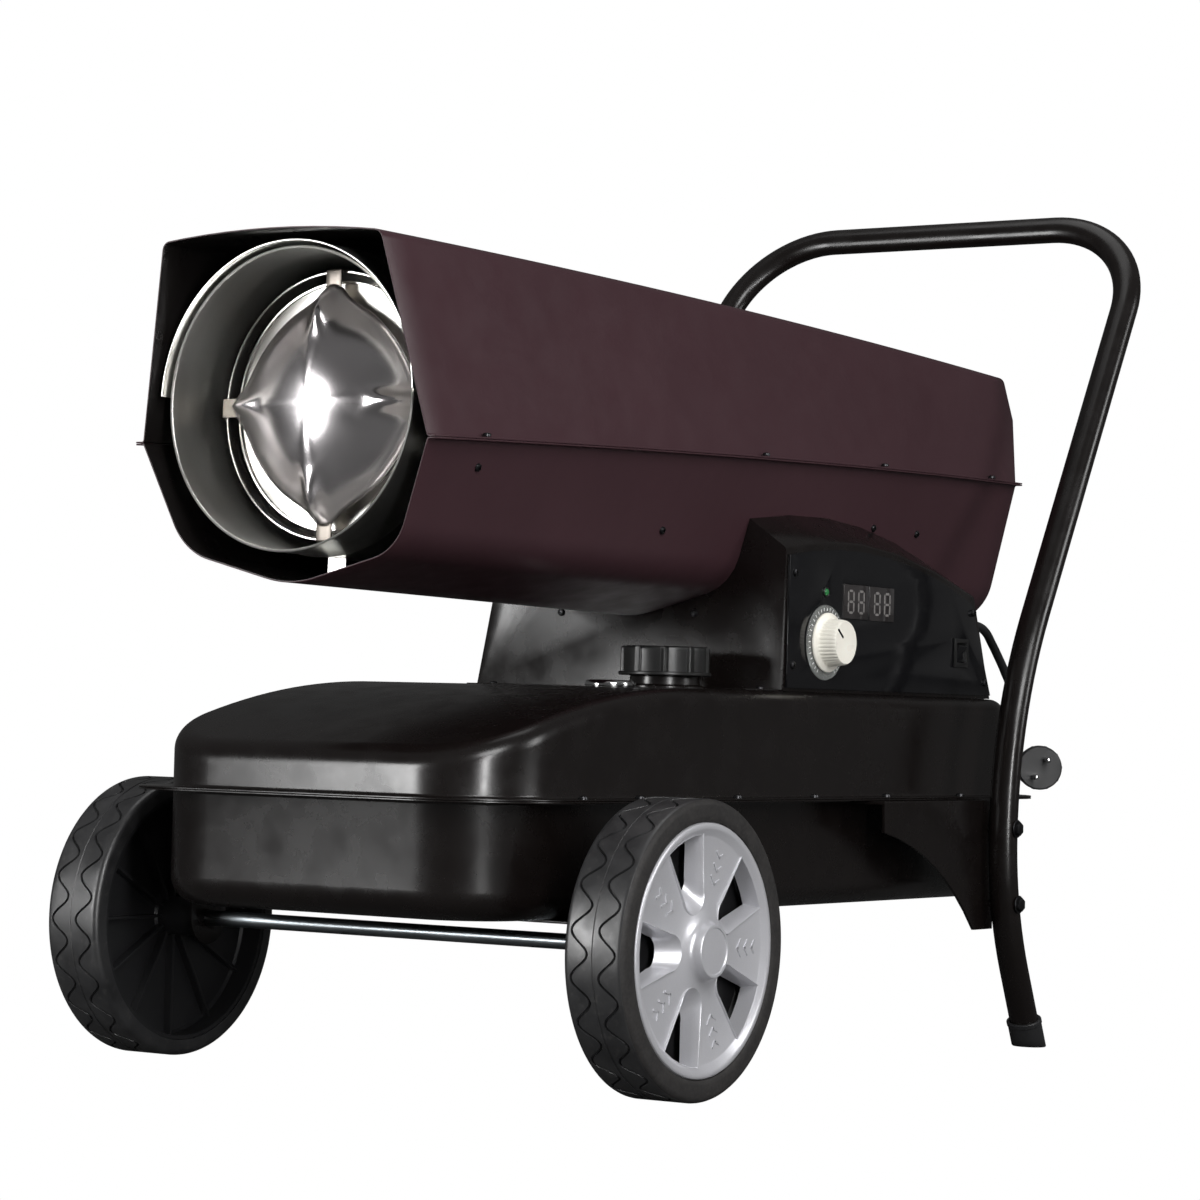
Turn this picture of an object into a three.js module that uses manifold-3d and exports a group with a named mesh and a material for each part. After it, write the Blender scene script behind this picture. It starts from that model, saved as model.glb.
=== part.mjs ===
// Portable forced air heater: a tapered sheet-steel barrel on a fuel tank with two
// wheels and a bent-tube handle. Millimetres, +Z up. While it is built, +X runs from
// the hot-air outlet to the rear, -Y is the control panel's side, Z = 0 is the floor
// and X = 0 is the wheel axle; the finished group is centred over its own footprint.
import * as THREE from 'three';
import { mergeVertices } from 'three/addons/utils/BufferGeometryUtils.js';
import Module from 'manifold-3d';

const wasm = await Module();
wasm.setup();

// ---------------------------------------------------------------- driving dimensions
const clearance = 0.3;              // between pieces that touch or pass through each other
const sheet = 1.2;                  // shell, casing and tank sheet steel
const plate = 2.5;                  // brackets

const wheelRadius = 110;
const wheelWidth = 51;
const tyreDepth = 12.5;             // rubber, radially
const tyreLip = 17;                 // sidewall seen from outside, radially
const wheelOuterFace = 267.5;       // |Y| of the outer side walls
const hubRadius = 15;
const hubCapDisc = 21;              // raised centre of the hub cap
const hubCapRise = 8;               // the disc stands out this far past the tyre
const rimWall = 3;
const rimRibs = 12;
const hubSpokes = 5;
const axleRadius = 6;
const axleBracketY = 198;           // |Y| of the outer face of the axle's tabs
const axleTabRadius = 21;

const tankWall = 129.5;             // body front face is at X = -tankWall
const tankRearX = 712;
const tankHalfWidth = 166;
const tankCorner = 73;              // plan radius of the body's corners
const flangeWidth = 21.6;
const flangeZ = 215;
const tankTopZ = 301;
const tankBottomZ = 127;
const tankEdge = 14;                // upper edge radius
const tankFootEdge = 22;            // lower edge radius
const bonnetRadius = 780;           // long curve that the top falls away on at the front
const bonnetStartX = 150;           // the top is level behind this

const barrelFrontX = -170.6;
const barrelRearX = 739;
const barrelLean = 0.14;            // the mouth leans forward at its top
const seamZ = [472, 498];           // front, rear
const topZ = [618.6, 596];
const bellyZ = [366, 350];
const seamHalf = [131.5, 130];
const shoulderHalf = [112.9, 126];
const topHalf = [100.5, 115];
const bellyHalf = [98.7, 102];
const bellyCornerZ = [391.5, 382];
const shoulderShare = 0.6;          // of the height from seam to top edge
const crownRise = 6;
const seamLip = 7;

const outletX = -164;
const outletZ = 503;
const coreTilt = 1.2 * Math.PI / 180;   // burner, chamber and fan point slightly up
const casingRadius = 112;
const casingLength = 118;
const shieldRadius = 116.2;
const shieldLength = 96;
const shieldLead = 6;               // the upper shield stands in front of the casing
const chamberRadius = 100.4;
const chamberStart = 52;            // behind the outlet plane
const chamberLength = 410;
const throatRadius = 93;            // inner rim seen behind the chamber's own rim
const throatLength = 60;
const diffuserRise = 30;
const diffuserBody = 74;            // radius half-way between two arms
const diffuserArm = 90;             // radius of an arm's tip
const fanRadius = 106;
const fanBlades = 5;
const fanPlace = 640;               // behind the outlet plane, to the blades' middle
const motorRadius = 58;
const motorLength = 105;
const pumpRadius = 46;
const pumpLength = 34;
const shaftRadius = 6;

const housingFrontX = 295;
const housingRearX = 655;
const housingRearTopX = 621;
const housingNearY = -152;
const housingFarY = 151;
const housingFarTopY = 128;
const housingShoulderZ = 420;
const housingTopZ = 437;
const housingSheet = 1.5;
const panelThickness = 2;
const panelInset = 3;               // rim of the housing left round the control panel

const capRadius = 36;
const capHeight = 24;
const capX = 238;
const capY = -75;
const neckRadius = 29;
const neckHeight = 10;
const gaugeX = 158;
const gaugeRadius = 20;

const tubeWide = 26;                // the handle's oval tube, across the machine
const tubeThin = 20;
const legY = 214;
const kneeX = 566.6;                // where the leg stands upright
const kneeZ = 184;
const footBendRadius = 272;
const footLean = 25.3 * Math.PI / 180;
const legBendRadius = 380;
const legLean = 30 * Math.PI / 180;
const barZ = 743;                   // height of the top bar's centre line
const barCorner = 97;
const boltHeights = [190, 125];     // handle bolts on each leg

const cordRadius = 4;
const hankTurns = 3;
const hankPitch = 9.4;
const hankX = 772;
const hankY = -47;
const hankZ = 226;
const hankHalfWidth = 45;
const hankHalfHeight = 96;
// the supply cord's free stretches, from the gland to the hank and from it to the plug
const cordLeadPoints = [
  [666, -118.2, 361], [681.7, -117.5, 366.9], [706, -117, 365], [730, -115, 351],
  [752, -113.5, 333], [771.1, -112, 314], [778.2, -104.1, 294], [776.2, -94.8, 276],
  [772.2, -92.3, 262], [772, -92, 241],
];
const cordTailPoints = [
  [743.8, -92, 196], [743.8, -92, 181], [743.8, -92, 157], [750.2, -87.6, 133.1],
  [767, -76.1, 118.3], [787.8, -61.9, 118.3], [804.6, -50.4, 133.1], [811, -46, 157],
  [813, -56, 190], [818, -80, 224], [809.1, -110.4, 236.6], [792.5, -127.4, 242.1],
  [785, -132.4, 241.8],
];

// ---------------------------------------------------------------- colours
const steelBrown = { color: 0x3a2f33, roughness: 0.38, metalness: 0.2 };
const blackPaint = { color: 0x161517, roughness: 0.35, metalness: 0.2 };
const blackPlastic = { color: 0x1b1b1c, roughness: 0.6, metalness: 0 };
const rubber = { color: 0x232324, roughness: 0.75, metalness: 0 };
const silverPlastic = { color: 0xb4b4b8, roughness: 0.4, metalness: 0.3 };
const brightSteel = { color: 0xc9cac8, roughness: 0.25, metalness: 1 };
const zinc = { color: 0xaab2b6, roughness: 0.35, metalness: 1 };
const ivory = { color: 0xe6dfc8, roughness: 0.5, metalness: 0 };
const glossBlack = { color: 0x0d0d0f, roughness: 0.12, metalness: 0 };
const clearPlastic = { color: 0x9aa2a0, roughness: 0.1, metalness: 0 };
const brass = { color: 0xb08d4a, roughness: 0.35, metalness: 1 };
const aluminium = { color: 0xb4b6b8, roughness: 0.45, metalness: 1 };
const boardGreen = { color: 0x24513a, roughness: 0.6, metalness: 0 };
const chrome = { color: 0xdadada, roughness: 0.1, metalness: 1 };

// ---------------------------------------------------------------- solids and helpers
const lerp = (pair, t) => pair[0] + (pair[1] - pair[0]) * t;
const range = (count) => Array.from({ length: count }, (_, i) => i);

// position-only, shared vertices, no collapsed triangles
function weld(geometry) {
  const bare = new THREE.BufferGeometry();
  bare.setAttribute('position', geometry.getAttribute('position'));
  if (geometry.index) bare.setIndex(geometry.index);
  const merged = mergeVertices(bare, 1e-4);
  const kept = [];
  for (let i = 0; i < merged.index.count; i += 3) {
    const [a, b, c] = [0, 1, 2].map((k) => merged.index.getX(i + k));
    if (a !== b && b !== c && c !== a) kept.push(a, b, c);
  }
  merged.setIndex(kept);
  return merged;
}

function toSolid(geometry) {
  const welded = weld(geometry);
  return new wasm.Manifold(new wasm.Mesh({
    numProp: 3,
    vertProperties: new Float32Array(welded.getAttribute('position').array),
    triVerts: new Uint32Array(welded.index.array),
  }));
}

function toGeometry(solid) {
  const mesh = solid.getMesh();
  const geometry = new THREE.BufferGeometry();
  geometry.setAttribute('position', new THREE.BufferAttribute(mesh.vertProperties, 3));
  geometry.setIndex(new THREE.BufferAttribute(mesh.triVerts, 1));
  return geometry;
}

const join = (...parts) => toGeometry(parts.map(toSolid).reduce((sum, part) => sum.add(part)));
const common = (a, b) => toGeometry(toSolid(a).intersect(toSolid(b)));
const cut = (body, ...tools) => toGeometry(
  tools.map(toSolid).reduce((left, tool) => left.subtract(tool), toSolid(body)),
);

// closed body from vertices and faces, turned so that its faces point out
function body(points, faces) {
  let volume = 0;
  for (const [a, b, c] of faces) volume += points[a].dot(points[b].clone().cross(points[c]));
  const outward = volume < 0 ? faces.map(([a, b, c]) => [a, c, b]) : faces;
  const geometry = new THREE.BufferGeometry().setFromPoints(points);
  geometry.setIndex(outward.flat());
  return geometry;
}

// skin over equal rings of points, closed by a flat face at each end
function loft(rings) {
  const count = rings[0].length;
  const faces = [];
  for (const k of range(rings.length - 1)) {
    for (const i of range(count)) {
      const a = k * count + i;
      const b = k * count + (i + 1) % count;
      faces.push([a, b, b + count], [a, b + count, a + count]);
    }
  }
  const last = (rings.length - 1) * count;
  for (const [a, b, c] of ringFaces(rings[0])) faces.push([a, c, b]);
  for (const [a, b, c] of ringFaces(rings.at(-1))) faces.push([last + a, last + b, last + c]);
  return body(rings.flat(), faces);
}

// triangles over one ring, whichever way it faces
function ringFaces(ring) {
  const normal = new THREE.Vector3();
  ring.forEach((p, i) => normal.add(p.clone().cross(ring[(i + 1) % ring.length])));
  normal.normalize();
  const across = new THREE.Vector3(1, 0, 0);
  if (Math.abs(normal.x) > 0.7) across.set(0, 1, 0);
  const u = across.cross(normal).normalize();
  const v = normal.clone().cross(u);
  const flat = ring.map((p) => new THREE.Vector2(p.dot(u), p.dot(v)));
  return THREE.ShapeUtils.triangulateShape(flat, []);
}

// open line of [a, b] points whose listed corners become arcs: [a, b, radius, steps]
function rounded(corners) {
  const points = [];
  corners.forEach(([a, b, radius, steps], i) => {
    const here = new THREE.Vector2(a, b);
    if (!radius) {
      points.push(here);
      return;
    }
    const before = new THREE.Vector2(...corners[i - 1].slice(0, 2)).sub(here).normalize();
    const after = new THREE.Vector2(...corners[i + 1].slice(0, 2)).sub(here).normalize();
    const half = Math.acos(THREE.MathUtils.clamp(before.dot(after), -1, 1)) / 2;
    const middle = before.clone().add(after).normalize().multiplyScalar(radius / Math.sin(half));
    const centre = here.clone().add(middle);
    const start = here.clone().addScaledVector(before, radius / Math.tan(half)).sub(centre);
    const turn = Math.PI - 2 * half;
    const sign = Math.sign(before.cross(after)) || 1;
    for (const k of range(steps + 1)) {
      const step = start.clone().rotateAround(new THREE.Vector2(), -sign * turn * k / steps);
      points.push(centre.clone().add(step));
    }
  });
  return points;
}

// the same line moved sideways by a distance, with sharp mitres
function offsetLine(line, distance, closed = false) {
  const count = line.length;
  return line.map((p, i) => {
    const before = closed ? line[(i + count - 1) % count] : line[Math.max(i - 1, 0)];
    const after = closed ? line[(i + 1) % count] : line[Math.min(i + 1, count - 1)];
    const into = p.clone().sub(before).normalize();
    const out = after.clone().sub(p).normalize();
    if (into.length() === 0) into.copy(out);
    if (out.length() === 0) out.copy(into);
    const side = new THREE.Vector2(-into.y - out.y, into.x + out.x).normalize();
    const square = new THREE.Vector2(-into.y, into.x);
    return p.clone().addScaledVector(side, distance / side.dot(square));
  });
}

function shapeOf(points, holes = []) {
  const shape = new THREE.Shape(points.map((p) => new THREE.Vector2(p.x ?? p[0], p.y ?? p[1])));
  shape.holes = holes;
  return shape;
}

function circleHole(x, y, radius, steps = 12) {
  return new THREE.Path(range(steps).map((k) => {
    const angle = -2 * Math.PI * k / steps;
    return new THREE.Vector2(x + radius * Math.cos(angle), y + radius * Math.sin(angle));
  }));
}

const extrude = (shape, depth) => new THREE.ExtrudeGeometry(shape, {
  depth, steps: 1, bevelEnabled: false, curveSegments: 6,
});

// a shape drawn in X and Z, from the plane Y = start towards +Y
const extrudeY = (shape, start, depth) => extrude(shape, depth)
  .rotateX(Math.PI / 2).translate(0, start + depth, 0);

// a shape drawn in Y and Z, from the plane X = start towards +X
const extrudeX = (shape, start, depth) => extrude(shape, depth)
  .rotateX(Math.PI / 2).rotateZ(Math.PI / 2).translate(start, 0, 0);

function lathe(profile, steps) {
  const area = profile.reduce((sum, [r, h], i) => {
    const [nextR, nextH] = profile[(i + 1) % profile.length];
    return sum + r * nextH - nextR * h;
  }, 0);
  const upward = area > 0 ? profile : [...profile].reverse();
  return new THREE.LatheGeometry(upward.map(([r, h]) => new THREE.Vector2(r, h)), steps);
}
const latheZ = (profile, steps = 24) => lathe(profile, steps).rotateX(Math.PI / 2);
const latheX = (profile, steps = 24) => lathe(profile, steps).rotateZ(-Math.PI / 2);
const latheY = (profile, steps = 24) => lathe(profile, steps);
const box = (x0, x1, y0, y1, z0, z1) => new THREE.BoxGeometry(x1 - x0, y1 - y0, z1 - z0)
  .translate((x0 + x1) / 2, (y0 + y1) / 2, (z0 + z1) / 2);
const rod = (radius, from, to, steps = 10) => {
  const start = new THREE.Vector3(...from);
  const along = new THREE.Vector3(...to).sub(start);
  const turn = new THREE.Quaternion().setFromUnitVectors(
    new THREE.Vector3(0, 1, 0), along.clone().normalize(),
  );
  return new THREE.CylinderGeometry(radius, radius, along.length(), steps)
    .applyQuaternion(turn).translate(...start.addScaledVector(along, 0.5).toArray());
};

// a run whose rings stand exactly at the given points, for use as an extrudePath
class StationPath extends THREE.Curve {
  constructor(points) {
    super();
    this.points = points;
  }

  getPointAt(u) {
    const place = u * (this.points.length - 1);
    const index = Math.min(Math.floor(place + 1e-9), this.points.length - 2);
    return this.points[index].clone().lerp(this.points[index + 1], place - index);
  }

  getPoint(t) {
    return this.getPointAt(t);
  }

  getTangentAt(u) {
    const index = Math.round(u * (this.points.length - 1));
    const before = this.points[Math.max(index - 1, 0)];
    const after = this.points[Math.min(index + 1, this.points.length - 1)];
    return after.clone().sub(before).normalize();
  }
}

const ellipseShape = (across, along, sides) => shapeOf(range(sides).map((k) => {
  const angle = 2 * Math.PI * (k + 0.5) / sides;
  return [across / 2 * Math.cos(angle), along / 2 * Math.sin(angle)];
}));

const tubeAlong = (points, section) => new THREE.ExtrudeGeometry(section, {
  extrudePath: new StationPath(points), steps: points.length - 1, bevelEnabled: false,
});

// turns a solid made along +Z to point along a direction, and puts it at a place
function aimed(geometry, direction, place) {
  const turn = new THREE.Quaternion().setFromUnitVectors(
    new THREE.Vector3(0, 0, 1), new THREE.Vector3(...direction).normalize(),
  );
  return geometry.clone().applyQuaternion(turn).translate(...place);
}

const heater = new THREE.Group();

function addPart(name, geometry, finish, parent = heater) {
  const mesh = new THREE.Mesh(weld(geometry), new THREE.MeshStandardMaterial(finish));
  mesh.name = name;
  parent.add(mesh);
  return mesh;
}

// ---------------------------------------------------------------- barrel
const barrelStations = [0, 0.12, 0.3, 0.5, 0.75, 1];
const seamAt = (t) => lerp(seamZ, 1 - (1 - t) ** 1.6);
const topAt = (t) => lerp(topZ, t * t);

// outer faces of the two half shells, from the +Y seam to the -Y one, without lips
function upperLine(t) {
  const [seam, top] = [seamAt(t), topAt(t)];
  const edge = lerp(topHalf, t);
  const shoulder = seam + shoulderShare * (top - seam);
  const right = [[lerp(seamHalf, t), seam], [lerp(shoulderHalf, t), shoulder], [edge, top, 8, 3]];
  const crown = [[edge / 2, top + crownRise * 0.75], [0, top + crownRise]];
  const left = [...right, crown[0]].reverse().map(([y, z, ...bend]) => [-y, z, ...bend]);
  return rounded([...right, ...crown, ...left]);
}

function lowerLine(t) {
  const corner = [lerp(bellyHalf, t), lerp(bellyCornerZ, t), 45, 4];
  const root = [lerp(seamHalf, t), seamAt(t)];
  const mirrored = [corner, root].map(([y, z, ...bend]) => [-y, z, ...bend]);
  return rounded([root, corner, [0, lerp(bellyZ, t), 90, 3], ...mirrored]);
}

const stationX = (t) => barrelFrontX + (barrelRearX - barrelFrontX) * t;
const onStation = (t, line) => line.map(({ x: y, y: z }) => new THREE.Vector3(
  stationX(t) - barrelLean * (1 - t) * (z - seamAt(t)), y, z,
));

// a line with its ends bent outwards into lips at a height
function lipped(line, lipZ) {
  const tip = line[0].x + seamLip;
  const inner = line.slice(1, -1);
  const roots = [line[0].x, -line[0].x].map((y) => new THREE.Vector2(y, lipZ));
  return [new THREE.Vector2(tip, lipZ), roots[0], ...inner, roots[1], new THREE.Vector2(-tip, lipZ)];
}

// a bent sheet: a lipped line and the same line set in by the sheet's thickness
function halfShell(lineAt, lipShift) {
  return loft(barrelStations.map((t) => {
    const outer = lipped(lineAt(t), seamAt(t) + lipShift);
    const side = lipShift > 0 ? sheet : -sheet;
    const inner = offsetLine(outer, side).reverse();
    return onStation(t, [...outer, ...inner]);
  }));
}

// everything inside the barrel's outer faces, drawn in by a distance; the order of the
// points makes its facets fold the same way as the shells' inner or outer faces
function barrelVolume(inset) {
  return loft(barrelStations.map((t) => {
    const loop = [...upperLine(t).slice(0, -1), ...lowerLine(t).reverse().slice(0, -1)];
    const line = offsetLine(loop, inset, true);
    return onStation(t, inset > 0 ? line : line.reverse());
  }));
}

const barrelRoom = barrelVolume(sheet + clearance);
const barrelBody = barrelVolume(-clearance);
const lipGap = clearance / 2;
const casingFoot = [-98.6, 455.3];   // X and Z of the flank screws that hold what is inside
const chamberFoot = [171, 424.7];
const motorFoot = [577, 444];
const stationOf = (x) => (x - barrelFrontX) / (barrelRearX - barrelFrontX);

// half width of the lower shell's outer face at a height, and the way that face looks
function flankAt(x, z) {
  const line = onStation(stationOf(x), lowerLine(stationOf(x)));
  const index = line.findIndex((p, i) => i > 0 && p.z <= z && line[i - 1].z > z);
  const [a, b] = [line[index - 1], line[index]];
  const share = (a.z - z) / (a.z - b.z);
  const outward = new THREE.Vector3(0, a.z - b.z, -(a.y - b.y)).normalize();
  return { y: a.y + (b.y - a.y) * share, outward };
}

const fuelHoseX = 430;
const fuelHoseY = -40;
const hoseGuide = rod(6, [fuelHoseX, fuelHoseY, bellyZ[1] - 20], [fuelHoseX, fuelHoseY, seamZ[0]], 8);

addPart('upper_shell', halfShell(upperLine, lipGap + sheet), steelBrown);
addPart('lower_shell', cut(halfShell(lowerLine, -lipGap - sheet), hoseGuide), steelBrown);

// ---------------------------------------------------------------- hot end, in the core's own frame
// The core group is tilted with the flame path: its X runs from the outlet plane to the rear.
const core = new THREE.Group();
core.position.set(outletX, 0, outletZ);
core.rotation.y = coreTilt;
heater.add(core);
core.updateMatrixWorld(true);
const toCore = core.matrixWorld.clone().invert();
const inCore = (geometry) => geometry.clone().applyMatrix4(toCore);
const coreRoom = inCore(barrelRoom);
const strap = 1.5;
const shellLining = inCore(cut(barrelRoom, barrelVolume(sheet + clearance + strap)));

// straps lying on the inside of the lower shell's two flanks, at one X and Z
function footPads([x, z], halfLength, halfWidth) {
  return [1, -1].map((side) => {
    const { y, outward } = flankAt(x, z);
    const pad = aimed(
      box(-halfLength, halfLength, -halfWidth, halfWidth, -8, 8), [0, side * outward.y, outward.z],
      [x, side * y, z],
    );
    return common(shellLining, inCore(pad));
  });
}

// flat arm from a radius on the axis out to the shell, at an angle in the Y-Z plane
const coreArm = (place, thick, wide, innerRadius, angle) => common(coreRoom, box(
  place - thick / 2, place + thick / 2, -wide / 2, wide / 2, innerRadius, innerRadius + 80,
).rotateX(angle));
const sideArm = 1.92;               // arms that reach the flanks, in radians from straight up

const casing = latheX([
  [casingRadius, 0], [casingRadius, casingLength], [casingRadius - sheet, casingLength],
  [casingRadius - sheet, 0], [casingRadius, 0],
], 32);
const casingFootPlace = 66;
const casingArms = [Math.PI, sideArm, -sideArm].map((angle) => coreArm(
  casingFootPlace, sheet, 16, casingRadius - sheet / 2, angle,
));
addPart('outlet_casing', join(casing, ...casingArms, ...footPads(casingFoot, 9, 8)), brightSteel, core);

// half-round shield over the top of the casing
const shieldArc = range(19).map((k) => Math.PI * (k / 18 - 0.5) * 0.98);
const arcPoints = (radius) => shieldArc.map((angle) => new THREE.Vector2(
  radius * Math.sin(angle), radius * Math.cos(angle),
));
const shieldShape = shapeOf([...arcPoints(shieldRadius), ...arcPoints(shieldRadius - sheet).reverse()]);
const shieldStart = -shieldLead;
const shieldBody = extrudeX(shieldShape, shieldStart, shieldLength);
const shieldStrut = (angle) => box(40, 52, -6, 6, casingRadius + clearance, shieldRadius - sheet / 2)
  .rotateX(angle);
addPart('heat_shield', join(shieldBody, shieldStrut(0.6), shieldStrut(-0.6)), brightSteel, core);

const chamberEnd = chamberStart + chamberLength;
const burnerMouth = 45;
const throatStart = chamberStart + 6;
const throatEnd = throatStart + throatLength;
addPart('combustion_chamber', latheX([
  [chamberRadius, chamberStart], [chamberRadius, chamberEnd], [burnerMouth, chamberEnd],
  [burnerMouth, chamberEnd - sheet], [chamberRadius - sheet, chamberEnd - sheet],
  [chamberRadius - sheet, throatEnd + sheet], [throatRadius - sheet, throatEnd],
  [throatRadius - sheet, throatStart], [throatRadius, throatStart], [throatRadius, throatEnd - sheet],
  [chamberRadius - sheet, throatEnd], [chamberRadius - sheet, chamberStart],
  [chamberRadius, chamberStart],
], 24), brightSteel, core);

// chamber hoop on two feet that take the flank screws
const supportPlace = (chamberFoot[0] - outletX) / Math.cos(coreTilt);
const hoop = latheX([
  [chamberRadius + clearance, supportPlace - 9], [chamberRadius + clearance, supportPlace + 9],
  [chamberRadius + clearance + strap, supportPlace + 9],
  [chamberRadius + clearance + strap, supportPlace - 9],
  [chamberRadius + clearance, supportPlace - 9],
], 24);
addPart('chamber_support', join(
  hoop, ...[Math.PI, 2.35, -2.35].map((angle) => coreArm(
    supportPlace, strap, 18, chamberRadius + clearance + strap / 2, angle,
  )), ...footPads(chamberFoot, 10, 26),
), zinc, core);

// four-armed flame diffuser: a dome pressed from one sheet, ridged along its arms
const diffuserSeat = chamberStart - 3;
const clipThickness = 1.2;
const armAngles = [0, 5, 9, 13, 19, 30, 45, 60, 71, 77, 81, 85];
const diffuserAngles = range(4).flatMap((arm) => armAngles.map((a) => (arm * 90 + a) * Math.PI / 180));
const diffuserShares = [0.35, 0.65, 0.87, 1];
function diffuserEdge(angle) {
  const off = Math.abs(((angle * 180 / Math.PI + 45) % 90) - 45);
  const side = diffuserBody * (1 + 0.05 * Math.cos(4 * angle));
  return side + (diffuserArm - side) / (1 + (off / 8) ** 4);
}
function diffuserPoint(angle, share, back) {
  const edge = diffuserEdge(angle);
  const radius = edge * share;
  const dome = diffuserRise * (1 - (radius / diffuserEdge(angle)) ** 1.7);
  const front = diffuserSeat - dome + back;
  return new THREE.Vector3(front, radius * Math.sin(angle), radius * Math.cos(angle));
}
function diffuser() {
  const side = (back) => [
    new THREE.Vector3(diffuserSeat - diffuserRise + back, 0, 0),
    ...diffuserShares.flatMap((share) => diffuserAngles.map((a) => diffuserPoint(a, share, back))),
  ];
  const count = diffuserAngles.length;
  const half = 1 + count * diffuserShares.length;
  const faces = [];
  for (const i of range(count)) {
    const next = (i + 1) % count;
    faces.push([0, 1 + i, 1 + next], [half, half + 1 + next, half + 1 + i]);
    for (const k of range(diffuserShares.length - 1)) {
      const [a, b] = [1 + k * count + i, 1 + k * count + next];
      faces.push([a, a + count, b + count], [a, b + count, b]);
      faces.push([half + a, half + b + count, half + a + count], [half + a, half + b, half + b + count]);
    }
    const rim = 1 + (diffuserShares.length - 1) * count;
    const [a, b] = [rim + i, rim + next];
    faces.push([a, half + a, half + b], [a, half + b, b]);
  }
  return body([...side(0), ...side(sheet)], faces);
}

// each arm ends in a spot-welded clip that hooks over the chamber's rim
const clipOuter = chamberRadius + clearance;
const clip = (angle) => join(
  box(diffuserSeat - 0.5, diffuserSeat + clipThickness - 0.5, -7, 7, diffuserArm - 9,
    clipOuter + clipThickness),
  box(diffuserSeat - 0.5, chamberStart + 24, -7, 7, clipOuter, clipOuter + clipThickness),
).rotateX(angle);
const quarterTurns = range(4).map((k) => k * Math.PI / 2);
addPart('flame_diffuser', join(diffuser(), ...quarterTurns.map(clip)), chrome, core);

// burner head on the rear plate of the chamber, with the nozzle and igniter in it
const headStart = chamberEnd + clearance;
const headLength = 50;
const headEnd = headStart + headLength;
const headRadius = 38;
const nozzleBore = 8;
const sparkY = 22;
const headHole = (radius, y) => rod(radius + clearance, [headEnd - 9, y, 0], [headEnd + 9, y, 0], 10);
addPart('burner_head', cut(latheX([
  [headRadius + 18, headStart], [headRadius + 18, headStart + strap], [headRadius, headStart + strap],
  [headRadius, headEnd], [nozzleBore + clearance, headEnd], [nozzleBore + clearance, headEnd - strap],
  [headRadius - strap, headEnd - strap], [headRadius - strap, headStart],
  [headRadius + 18, headStart],
], 20), headHole(5, sparkY)), zinc, core);
const nozzleEnd = headEnd + 28;
addPart('fuel_nozzle', latheX([
  [0, headEnd - 30], [3, headEnd - 30], [6, headEnd - 23], [nozzleBore, headEnd - 21],
  [nozzleBore, headEnd + clearance], [11, headEnd + clearance], [11, headEnd + 9], [5, headEnd + 9],
  [5, nozzleEnd], [0, nozzleEnd],
], 8), brass, core);
const seatFace = headEnd + clearance;
addPart('igniter', join(
  rod(5, [headEnd - 14, sparkY, 0], [headEnd + 20, sparkY, 0], 10),
  rod(8, [seatFace, sparkY, 0], [seatFace + 5, sparkY, 0], 6),
  rod(1, [headEnd - 13, sparkY, 0], [headEnd - 32, sparkY - 7, 0], 6),
), ivory, core);

// ---------------------------------------------------------------- fan, motor and air pump
const hubLength = 28;
const bladeSections = [[16, 30, 50], [50, 56, 38], [92, 64, 29], [fanRadius, 36, 26]];
function fanBlade() {
  return loft(bladeSections.map(([radius, chord, pitch]) => {
    const turn = pitch * Math.PI / 180;
    const camber = chord * 0.06;
    const line = [-0.5, -0.2, 0.2, 0.5].map((s) => [s * chord, camber * (1 - (2 * s) ** 2)]);
    const ring = [...line.map(([c, h]) => [c, h + 0.8]), ...line.reverse().map(([c, h]) => [c, h - 0.8])];
    return ring.map(([c, h]) => new THREE.Vector3(
      fanPlace + c * Math.sin(turn) + h * Math.cos(turn),
      c * Math.cos(turn) - h * Math.sin(turn), radius,
    ));
  }));
}
const motorStart = fanPlace + 50;
const shaftIn = 34;
const fan = join(
  latheX([[0, fanPlace - hubLength / 2], [14, fanPlace - hubLength / 2], [20, fanPlace - 8],
    [20, fanPlace + hubLength / 2], [0, fanPlace + hubLength / 2]], 20),
  rod(shaftRadius, [fanPlace, 0, 0], [motorStart + shaftIn, 0, 0], 12),
  ...range(fanBlades).map((k) => fanBlade().rotateX(2 * Math.PI * k / fanBlades)),
);
addPart('fan', fan, aluminium, core);

const motorEnd = motorStart + motorLength;
addPart('fan_motor', latheX([
  [0, motorStart + shaftIn + clearance], [shaftRadius + clearance, motorStart + shaftIn + clearance],
  [shaftRadius + clearance, motorStart], [28, motorStart], [motorRadius - 8, motorStart + 6],
  [motorRadius, motorStart + 14], [motorRadius, motorEnd - 14], [motorRadius - 8, motorEnd - 6],
  [pumpRadius - 6, motorEnd], [0, motorEnd],
], 24), blackPaint, core);

const pumpStart = motorEnd + clearance;
const pumpEnd = pumpStart + pumpLength;
const filterSlot = (k) => box(pumpEnd + 8, pumpEnd + 20, -2.5, 2.5, 12, 32).rotateX(2 * Math.PI * k / 6);
addPart('air_pump', cut(latheX([
  [0, pumpStart], [pumpRadius - 4, pumpStart], [pumpRadius, pumpStart + 4], [pumpRadius, pumpEnd - 1],
  [pumpRadius - 2, pumpEnd], [pumpRadius - 2, pumpEnd + 8], [pumpRadius - 8, pumpEnd + 14],
  [0, pumpEnd + 14],
], 20), ...range(6).map(filterSlot)), zinc, core);

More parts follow.
